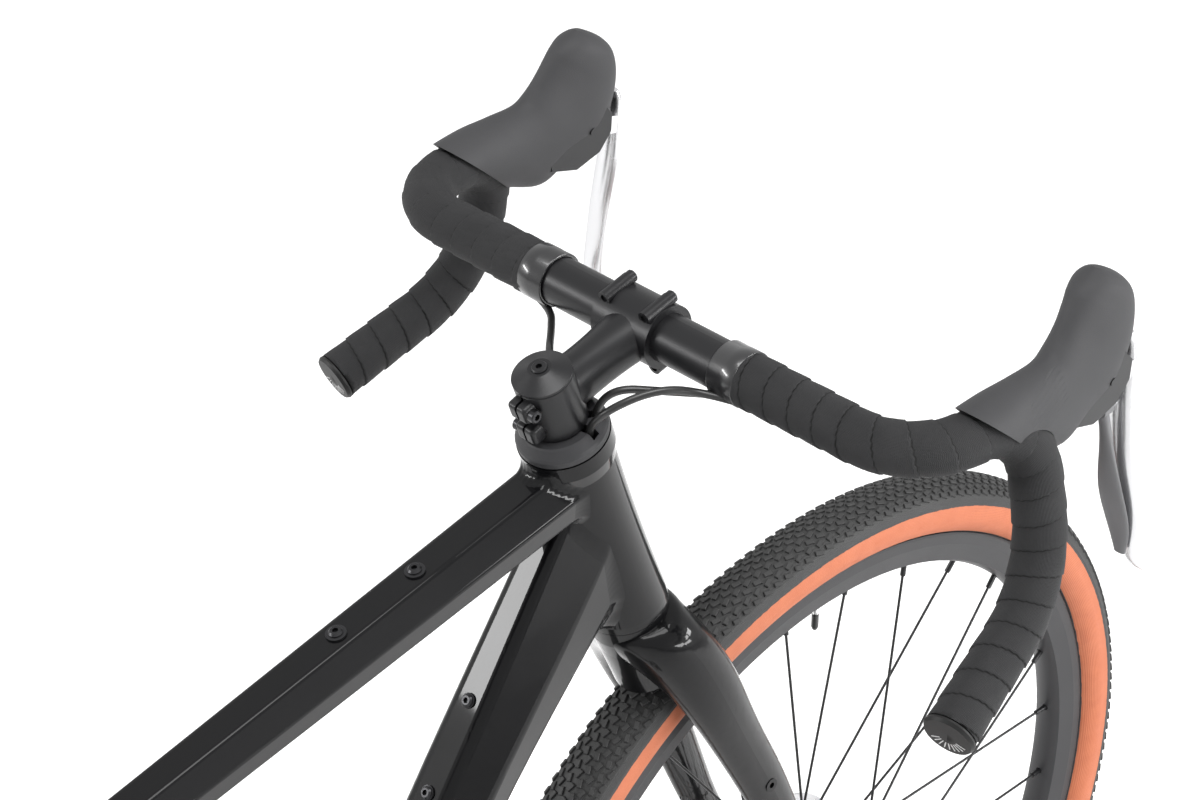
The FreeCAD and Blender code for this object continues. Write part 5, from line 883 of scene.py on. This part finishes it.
@dataclass(frozen=True)
class Hood:
    """Left rubber hood: rings that swell along the bracket and rise to a horn.

    Millimetres are counted from the bar's middle. Each ring is x, y, z of its middle, its half width,
    its half height and its pitch in degrees.
    """

    rings: tuple[tuple[float, float, float, float, float, float], ...] = (
        (38, 223, 0, 19.5, 20.0, 0),
        (66, 224, 0, 20.0, 22.5, 0),
        (92, 224, -4, 19.5, 27.0, 5),
        (118, 223, -8, 18.0, 33.5, 12),
        (135.5, 222, 0, 17.0, 35.0, 24),
        (154, 221, 9.5, 17.0, 41.0, 36),
        (163.5, 220, 25.5, 17.5, 37.5, 47),
        (167.5, 219, 39.5, 17.5, 31.8, 57),
        (168.5, 218.5, 51.5, 16.0, 23.5, 66),
        (167, 218, 59.2, 11.0, 13.8, 70),
        (163, 218, 64.5, 3.5, 4.0, 72),
    )
    rear_edge: tuple[tuple[float, float], ...] = (
        (10.4, 46.9), (131.8, -63.5), (60, -140), (-40, -140), (-40, 46.9),
    )
    rear_width: float = 500.0
    nose: tuple[tuple[float, float], ...] = (
        (125.7, -26.3), (150, -33.8), (172.3, -28.3), (183.3, -16.3),
        (184.3, -1.7), (172.3, 10.3), (150, 10.3), (125.7, 4.3),
    )
    nose_middle: float = 221.0
    nose_half: float = 14.3
    slot_half: float = 7.5
    slot: tuple[tuple[float, float], ...] = ((148, -89), (218, -89), (218, -1.5), (148, -1.5))
    bar_room: float = 17.3
    bar_span: tuple[int, int, int] = (180, 400, 4)
    crease: float = 38.0
    columns: int = 56
    steps: int = 7

    def body(self) -> Mesh:
        """The outer form, smooth through every ring."""
        mesh = Mesh()
        knots = [self.rings[0]] + list(self.rings) + [self.rings[-1]]
        rows = []
        for before, start, finish, after in zip(knots, knots[1:], knots[2:], knots[3:]):
            rows += [self._between(before, start, finish, after, i / self.steps) for i in range(self.steps)]
        rows.append(self.rings[-1])
        for x, y, z, wide, tall, pitch in rows:
            lean = math.radians(pitch)
            up = Vector((-math.sin(lean), 0.0, math.cos(lean)))
            for column in range(self.columns):
                turn = FULL_TURN * column / self.columns
                offset = Vector((0.0, wide * math.cos(turn), 0.0)) + up * (tall * math.sin(turn))
                mesh.points.append(BAR_MIDDLE + (Vector((x, y, z)) + offset) * MM)
        mesh.tube(len(rows), self.columns)
        return mesh

    @staticmethod
    def _between(before: tuple, start: tuple, finish: tuple, after: tuple, t: float) -> tuple[float, ...]:
        """A ring between two others, on a smooth path through their neighbours."""
        blend = []
        for a, b, c, d in zip(before, start, finish, after):
            bow = 2 * a - 5 * b + 4 * c - d
            twist = 3 * b - a - 3 * c + d
            blend.append((2 * b + (c - a) * t + bow * t**2 + twist * t**3) / 2)
        return tuple(blend)

    @staticmethod
    def prism(outline: tuple[tuple[float, float], ...], low: float, high: float) -> Mesh:
        """A straight block with a side outline.

        Args:
            outline: Its corners, forward and up from the bar's middle.
            low: Its inner side.
            high: Its outer side.
        Returns:
            The mesh.
        """
        mesh = Mesh()
        for side in (low, high):
            mesh.points += [BAR_MIDDLE + Vector((x, side, z)) * MM for x, z in outline]
        count = len(outline)
        for i in range(count):
            j = (i + 1) % count
            mesh.faces.append((i, j, count + j, count + i))
        mesh.faces.append(tuple(range(count)))
        mesh.faces.append(tuple(reversed(range(count, 2 * count))))
        return mesh

    def bar_tube(self) -> Mesh:
        """The room that the taped bar takes."""
        mesh = Mesh()
        stations = BarPath().stations()[slice(*self.bar_span)]
        leads = [column / self.columns for column in range(self.columns)]
        for station in stations:
            mesh.points += [station.ring_point(self.bar_room, lead) for lead in leads]
        mesh.tube(len(stations), self.columns)
        return mesh

    def dress(self, rubber: bpy.types.Material) -> None:
        """Cut both hoods and let them ride on the steering.

        Args:
            rubber: The hoods' material.
        """
        middle = self.nose_middle
        cutters = (
            self.prism(self.rear_edge, 0.0, self.rear_width),
            self.bar_tube(),
            self.prism(self.nose, middle - self.nose_half, middle + self.nose_half),
            self.prism(self.slot, middle - self.slot_half, middle + self.slot_half),
        )
        for side in ("left", "right"):
            forms = [self.body(), *cutters]
            if side == "right":
                forms = [form.mirrored() for form in forms]
            piece = forms[0].piece(f"{side}_hood", rubber)
            outward(piece)
            for number, form in enumerate(forms[1:]):
                carve(piece, form, f"hood_cutter_{number}")
            piece.data.materials.clear()
            piece.data.materials.append(rubber)
            piece.data.shade_smooth()
            piece.data.set_sharp_from_angle(angle=math.radians(self.crease))
            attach(piece, "steering")
            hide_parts("hoods")
            LOG.info("%s: %d faces", piece.name, len(piece.data.polygons))


def carve(piece: bpy.types.Object, form: Mesh, name: str) -> None:
    """Take one form out of a piece.

    Args:
        piece: The piece to cut.
        form: The space to remove.
        name: A name for the cutter while it exists.
    """
    cutter = form.piece(name, piece.data.materials[0])
    outward(cutter)
    cut = piece.modifiers.new("cut", "BOOLEAN")
    cut.operation = "DIFFERENCE"
    cut.solver = "EXACT"
    cut.object = cutter
    settle(piece)
    bpy.data.objects.remove(cutter)


def outward(piece: bpy.types.Object) -> None:
    """Merge a piece's doubled points and turn its faces outwards."""
    form = bmesh.new()
    form.from_mesh(piece.data)
    bmesh.ops.remove_doubles(form, verts=form.verts, dist=1e-6)
    bmesh.ops.dissolve_degenerate(form, edges=form.edges, dist=1e-7)
    bmesh.ops.recalc_face_normals(form, faces=form.faces)
    form.to_mesh(piece.data)
    form.free()
    piece.data.update()


def search_tree(node: bpy.types.Object) -> BVHTree:
    """A search tree over a node's triangles."""
    points = [v.co for v in node.data.vertices]
    return BVHTree.FromPolygons(points, [tuple(p.vertices) for p in node.data.polygons])


@dataclass(frozen=True)
class Weld:
    """A smooth weld where one tube's end meets another tube.

    The reach is in millimetres and every other length in metres.
    """

    tube: str
    post: str
    along: tuple[float, float, float]
    reach: float = 8.5
    bins: int = 144
    steps: int = 8
    touch: float = 0.0004
    ripple: float = 0.03
    ripple_step: float = 1.7
    stride: float = 0.002
    halvings: int = 12
    far: float = 0.13
    sink: float = 0.0001
    lift: float = 0.0003
    widest_gap: float = 0.02

    def loop(self, node: bpy.types.Object, tube: BVHTree, post: BVHTree) -> list[tuple[Vector, Vector]]:
        """The line where the tube's outer side runs into the other tube.

        Args:
            node: The tube's CAD node.
            tube: The tube's search tree.
            post: The search tree of the tube that it meets.
        Returns:
            Each point on the line, with the direction outwards from the tube's middle.
        """
        close = [v.co.copy() for v in node.data.vertices if post.find_nearest(v.co)[3] < self.touch]
        middle = sum(close, Vector()) / len(close)
        axis = Vector(self.along).normalized()
        first = axis.cross(Vector((0, 1, 0))).normalized()
        second = axis.cross(first)
        found = []
        for number in range(self.bins):
            turn = FULL_TURN * number / self.bins
            out = first * math.cos(turn) + second * math.sin(turn)
            place = self._meeting(middle, axis, out, tube, post)
            if place is not None:
                found.append((place, out))
        return found

    def _meeting(
        self, middle: Vector, axis: Vector, out: Vector, tube: BVHTree, post: BVHTree
    ) -> Optional[Vector]:
        """Walk along the tube towards the other one until that one covers it."""
        outside = self.far
        place = None
        while outside > -self.far:
            nearer = self._top(middle, axis, out, outside, tube, post)
            if nearer is None and place is not None:
                break
            place = nearer or place
            outside -= self.stride
        if place is None or outside <= -self.far:
            return None
        inside = outside
        outside += self.stride
        for _ in range(self.halvings):
            half = (inside + outside) / 2
            nearer = self._top(middle, axis, out, half, tube, post)
            if nearer is None:
                inside = half
            else:
                place, outside = nearer, half
        return place

    def _top(
        self, middle: Vector, axis: Vector, out: Vector, distance: float, tube: BVHTree, post: BVHTree
    ) -> Optional[Vector]:
        """The tube's outer side at a distance along it, or None where the other tube lies over it."""
        origin = middle + axis * distance + out * self.far
        on_tube = tube.ray_cast(origin, -out)
        on_post = post.ray_cast(origin, -out)
        if on_tube[0] is None or (on_post[0] is not None and on_post[3] < on_tube[3]):
            return None
        return on_tube[0]

    def build(self, nodes: dict) -> Mesh:
        """The weld's skin, tangent to both tubes.

        Args:
            nodes: The CAD nodes by name.
        Returns:
            The mesh.
        """
        post = search_tree(nodes[self.post])
        tube = search_tree(nodes[self.tube])
        ring = self.loop(nodes[self.tube], tube, post)
        axis = Vector(self.along).normalized()
        mesh = Mesh()
        for number, (place, out) in enumerate(ring):
            reach = self.reach * MM * (1.0 + self.ripple * math.sin(number * self.ripple_step))
            onto_post = post.find_nearest(place + out * reach - axis * 0.001)
            onto_tube = tube.find_nearest(place + axis * reach + out * 0.0005)
            start = onto_post[0] - onto_post[1] * self.sink
            finish = onto_tube[0] - onto_tube[1] * self.sink
            corner = place + (onto_post[1] + onto_tube[1]) * self.lift
            for step in range(self.steps + 1):
                t = step / self.steps
                mesh.points.append(start * (1 - t) ** 2 + corner * (2 * t * (1 - t)) + finish * t**2)
        wide = self.steps + 1
        for number in range(len(ring)):
            after = (number + 1) % len(ring)
            if (ring[after][0] - ring[number][0]).length > self.widest_gap:
                continue
            for step in range(self.steps):
                a, b = number * wide + step, after * wide + step
                mesh.faces.append((a, a + 1, b + 1, b))
        return mesh

    def dress(self, nodes: dict, paint: bpy.types.Material) -> None:
        """Lay the weld and let it ride on the frame.

        Args:
            nodes: The CAD nodes by name.
            paint: The frame's paint.
        """
        piece = self.build(nodes).piece(f"weld_{self.tube}_{self.post}", paint)
        middle = sum((v.co for v in piece.data.vertices), Vector()) / len(piece.data.vertices)
        facing = sum(p.normal.dot(p.center - middle) for p in piece.data.polygons)
        if facing < 0:
            piece.data.flip_normals()
        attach(piece, "frame")
        LOG.info("%s: %d faces", piece.name, len(piece.data.polygons))


WELDS: tuple[Weld, ...] = (
    Weld("top_tube", "head_tube", (-0.979, 0.0, -0.203)),
    Weld("down_tube", "head_tube", (-0.66, 0.0, -0.75), reach=10.0),
    Weld("top_tube", "seat_tube", (0.979, 0.0, 0.203), reach=6.0),
)


@dataclass(frozen=True)
class SaddlePad:
    """The padded saddle: the solid's form drawn smooth, with a relief channel."""

    voxel: float = 0.004
    smoothing: int = 6
    channel_depth: float = 0.0045
    channel_half: float = 0.011
    channel_start: float = 0.08
    channel_share: float = 0.78
    top_facing: float = 0.3

    def dress(self, node: bpy.types.Object, shop: MaterialShop) -> None:
        """Make the pad in the solid's place.

        Args:
            node: The saddle's CAD node.
            shop: The material shop.
        """
        data = bpy.data.meshes.new("saddle_pad")
        form = bmesh.new()
        form.from_mesh(node.data)
        bmesh.ops.remove_doubles(form, verts=form.verts, dist=1e-5)
        form.to_mesh(data)
        form.free()
        piece = bpy.data.objects.new("saddle_pad", data)
        bpy.context.scene.collection.objects.link(piece)
        remesh = piece.modifiers.new("remesh", "REMESH")
        remesh.mode = "VOXEL"
        remesh.voxel_size = self.voxel
        soften = piece.modifiers.new("soften", "SMOOTH")
        soften.iterations = self.smoothing
        soften.factor = 0.5
        settle(piece)
        self._press(piece.data)
        piece.data.materials.clear()
        piece.data.materials.append(shop.plain("saddle_cover"))
        piece.data.shade_smooth()
        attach(piece, "seat")
        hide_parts("saddle")
        LOG.info("saddle pad: %d faces", len(piece.data.polygons))

    def _press(self, data: bpy.types.Mesh) -> None:
        """Press the relief channel into the top."""
        low = min(v.co.x for v in data.vertices)
        high = max(v.co.x for v in data.vertices)
        for vertex in data.vertices:
            if vertex.normal.z < self.top_facing:
                continue
            share = (vertex.co.x - low) / (high - low)
            inside = min(max((share - self.channel_start) / self.channel_share, 0.0), 1.0)
            lengthwise = max(0.0, math.sin(math.pi * inside))
            across = max(0.0, 1.0 - (vertex.co.y / self.channel_half) ** 2)
            vertex.co.z -= self.channel_depth * across**1.5 * lengthwise**0.5


@dataclass(frozen=True)
class Hose:
    """A free hose that leaves the bike at one port and goes back in at another, in millimetres."""

    name: str
    body: str
    node: str
    slot: str
    length: float
    route: tuple[tuple[float, float, float], ...]
    radius: float = 2.5

    def dress(self, material: bpy.types.Material) -> None:
        """Draw the hose as one smooth line.

        Args:
            material: Its finish.
        """
        data = bpy.data.curves.new(self.name, "CURVE")
        data.dimensions = "3D"
        data.resolution_u = 16
        data.bevel_depth = self.radius * MM
        data.bevel_resolution = 5
        data.use_fill_caps = True
        spline = data.splines.new("NURBS")
        spline.points.add(len(self.route) - 1)
        for point, place in zip(spline.points, self.route):
            point.co = (*(Vector(place) * MM), 1.0)
        spline.order_u = 3
        spline.use_endpoint_u = True
        data.materials.append(material)
        piece = bpy.data.objects.new(self.name, data)
        bpy.context.scene.collection.objects.link(piece)
        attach(piece, self.body)
        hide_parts(self.node)
        Vector(self.route[0]) * MM
        LOG.info("%s: %.1f mm", self.name, spline.calc_length() / MM)


HOSES: tuple[Hose, ...] = (
    Hose(
        "right_brake_hose", "steering", "control_hoses", "hose_black", 156.0,
        (
            (287.67, -16.69, 873.93), (276.42, -16.69, 905.7), (269.82, -35.4, 934.23),
            (299.72, -56.0, 948.82), (327.57, -72.0, 938.95), (330.18, -93.0, 941.14),
        ),
    ),
    Hose(
        "right_shift_hose", "steering", "control_hoses", "hose_black", 153.5,
        (
            (296.0, -12.19, 876.88), (284.75, -12.19, 908.65), (287.47, -25.86, 940.48),
            (313.72, -50.0, 936.82), (340.11, -72.0, 932.42), (340.41, -93.0, 935.82),
        ),
    ),
    Hose(
        "left_brake_hose", "steering", "control_hoses", "hose_black", 150.0,
        (
            (296.0, 12.19, 876.88), (284.75, 12.19, 908.65), (287.47, 25.86, 940.48),
            (313.72, 50.0, 934.82), (335.4, 72.0, 933.46), (336.57, 93.0, 936.67),
        ),
    ),
    Hose(
        "fork_brake_hose", "steering", "control_hoses", "hose_black", 78.4,
        ((444.18, 47.0, 507.02), (436.56, 46.0, 474.62), (447.4, 38.5, 453.0), (456.2, 37.0, 434.15)),
    ),
    Hose(
        "rear_brake_hose", "frame", "rear_lines", "hose_black", 83.8,
        (
            (-348.59, 56.5, 323.83), (-376.59, 56.5, 345.83),
            (-404.86, 52.5, 360.91), (-420.59, 52.5, 363.83),
        ),
    ),
    Hose(
        "gear_cable", "frame", "rear_lines", "hose_black", 216.5,
        (
            (-409.0, -62.0, 340.0), (-463.0, -87.0, 347.0), (-535.0, -93.0, 359.0),
            (-568.0, -93.0, 346.0), (-568.0, -92.0, 314.0), (-543.6, -90.5, 313.0),
        ),
    ),
)


@dataclass(frozen=True)
class PlugTicks:
    """Short pale lines in a fan on the face of each bar end plug."""

    count: int = 9
    inner: float = 6.0
    length: float = 6.5
    width: float = 0.7
    fan: float = 130.0
    face_height: float = 3.75

    def block(self) -> Mesh:
        """One line, a low bar that lies along X."""
        levels = ((-0.5, 1.0, 1.0), (0.15, 1.0, 1.0), (0.25, 1.0, 0.8))
        return Mesh.block(self.length, self.width, levels)

    def dress(self, shop: MaterialShop) -> None:
        """Set the lines on both plugs.

        Args:
            shop: The material shop.
        """
        places = BarPath().places()
        along = (places[-1] - places[-3]).normalized()
        pale = shop.plain("plug_lines")
        for side, sign in (("left", 1.0), ("right", -1.0)):
            out = Vector((along.x, along.y * sign, along.z))
            end = BAR_MIDDLE + Vector((places[-1].x, places[-1].y * sign, places[-1].z)) * MM
            turn = out.to_track_quat("Z", "Y").to_matrix().to_4x4()
            scatter = Scatter(f"{side}_plug_lines", self.block(), pale)
            for i in range(self.count):
                angle = math.radians(-90 - self.fan / 2 + self.fan * i / (self.count - 1))
                spin = Matrix.Rotation(angle, 4, "Z")
                offset = Vector((self.inner + self.length / 2, 0, self.face_height))
                shift = Matrix.Translation(offset * MM)
                scatter.put(Matrix.Translation(end) @ turn @ spin @ shift)
            piece = scatter.bake()
            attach(piece, "steering")


@dataclass(frozen=True)
class Viewpoint:
    """The photograph's camera, fitted to the solids."""

    place: tuple[float, float, float] = (-0.8704, -1.1668, 1.9944)
    azimuth: float = -45.242
    elevation: float = 33.177
    roll: float = 0.281
    lens: float = 96.99
    sensor: float = 36.0
    near: float = 0.05
    far: float = 60.0

    def build(self) -> bpy.types.Object:
        """Make the scene's camera.

        Returns:
            The camera object.
        """
        a = math.radians(self.azimuth)
        e = math.radians(self.elevation)
        back = Vector((math.sin(a) * math.cos(e), -math.cos(a) * math.cos(e), math.sin(e)))
        data = bpy.data.cameras.new("camera")
        data.sensor_width = self.sensor
        data.lens = self.lens
        data.clip_start = self.near
        data.clip_end = self.far
        camera = bpy.data.objects.new("camera", data)
        camera.rotation_mode = "QUATERNION"
        tilt = Euler((0, 0, math.radians(self.roll))).to_quaternion()
        camera.rotation_quaternion = (-back).to_track_quat("-Z", "Y") @ tilt
        camera.location = self.place
        bpy.context.scene.collection.objects.link(camera)
        bpy.context.scene.camera = camera
        return camera


@dataclass(frozen=True)
class Softbox:
    """One area light, aimed at a point."""

    name: str
    place: tuple[float, float, float]
    target: tuple[float, float, float]
    size: tuple[float, float]
    power: float

    def build(self) -> None:
        """Make the light."""
        data = bpy.data.lights.new(self.name, "AREA")
        data.shape = "RECTANGLE"
        data.size, data.size_y = self.size
        data.energy = self.power
        light = bpy.data.objects.new(self.name, data)
        light.location = self.place
        aim = Vector(self.target) - Vector(self.place)
        light.rotation_mode = "QUATERNION"
        light.rotation_quaternion = aim.to_track_quat("-Z", "Y")
        bpy.context.scene.collection.objects.link(light)


SOFTBOXES: tuple[Softbox, ...] = (
    Softbox("overhead", (-0.3, -0.6, 4.2), (0.2, 0.0, 0.6), (2.6, 1.6), 120.0),
    Softbox("left_bank", (-2.6, 2.6, 2.0), (0.2, 0.0, 0.7), (2.4, 0.4), 90.0),
    Softbox("right_bank", (1.3, -3.3, 1.25), (0.2, 0.0, 0.8), (3.0, 0.4), 90.0),
    Softbox("front_strip", (2.9, -2.4, 2.0), (0.3, 0.0, 0.8), (2.0, 0.4), 70.0),
)


def seen_directly(tree: bpy.types.NodeTree) -> bpy.types.NodeSocket:
    """One for rays from the eye, from gloss and through glass, and nought for the rays that only light.

    Args:
        tree: The node tree to add to.
    Returns:
        The mask socket.
    """
    path = tree.nodes.new("ShaderNodeLightPath")
    seen = path.outputs["Is Camera Ray"]
    for kind in ("Is Glossy Ray", "Is Transmission Ray"):
        either = tree.nodes.new("ShaderNodeMath")
        either.operation = "MAXIMUM"
        tree.links.new(seen, either.inputs[0])
        tree.links.new(path.outputs[kind], either.inputs[1])
        seen = either.outputs[0]
    return seen


@dataclass(frozen=True)
class Studio:
    """White studio: floor, world and lights."""

    surround: float = 0.3
    floor_lift: float = 0.3
    floor_level: float = -1.4
    floor_reach: float = 14.0
    floor_grey: float = 0.92

    def build(self) -> None:
        """Make the stage."""
        self._floor()
        self._world()
        for box in SOFTBOXES:
            box.build()
        bpy.context.scene.view_settings.view_transform = "Standard"

    def _floor(self) -> None:
        """A wide pale floor under the tyres."""
        mesh = Mesh()
        level = self.floor_level * MM
        reach = self.floor_reach
        mesh.points = [Vector((x * reach, y * reach, level)) for x, y in SQUARE]
        mesh.faces = [(0, 1, 2, 3)]
        graph = NodeGraph("floor")
        graph.shader.inputs["Base Color"].default_value = (*[self.floor_grey] * 3, 1.0)
        graph.shader.inputs["Roughness"].default_value = 0.9
        graph.shader.inputs["Specular IOR Level"].default_value = 0.1
        graph.shader.inputs["Emission Color"].default_value = (1.0, 1.0, 1.0, 1.0)
        strength = graph.math("MULTIPLY", seen_directly(graph.tree), self.floor_lift)
        graph.link(strength, graph.shader.inputs["Emission Strength"])
        mesh.piece("floor", graph.material)

    def _world(self) -> None:
        """A white surround for the eye and for gloss, which lights the bike only a little."""
        world = bpy.data.worlds.new("studio")
        world.use_nodes = True
        nodes = world.node_tree.nodes
        link = world.node_tree.links.new
        surround = nodes["Background"]
        surround.inputs["Color"].default_value = (1.0, 1.0, 1.0, 1.0)
        strength = nodes.new("ShaderNodeMapRange")
        strength.inputs["To Min"].default_value = self.surround
        link(seen_directly(world.node_tree), strength.inputs["Value"])
        link(strength.outputs["Result"], surround.inputs["Strength"])
        bpy.context.scene.world = world


def clear_scene() -> None:
    """Remove the default objects."""
    for item in list(bpy.data.objects):
        bpy.data.objects.remove(item)


def main() -> None:
    """Build the scene."""
    logging.basicConfig(level=logging.INFO, format="%(name)s: %(message)s")
    clear_scene()
    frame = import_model()
    shop = MaterialShop()
    paint_nodes(frame, shop)
    for wheel in Wheel:
        Tread().dress(wheel, shop.plain("knob_rubber"))
    BarTape().dress(shop)
    PlugTicks().dress(shop)
    Hood().dress(shop.hood())
    for weld in WELDS:
        weld.dress(frame["nodes"], shop.made["frame_paint"])
    SaddlePad().dress(frame["nodes"]["saddle"], shop)
    for hose in HOSES:
        hose.dress(shop.made[hose.slot])
    Studio().build()
    Viewpoint().build()


if __name__ == "__main__":
    main()
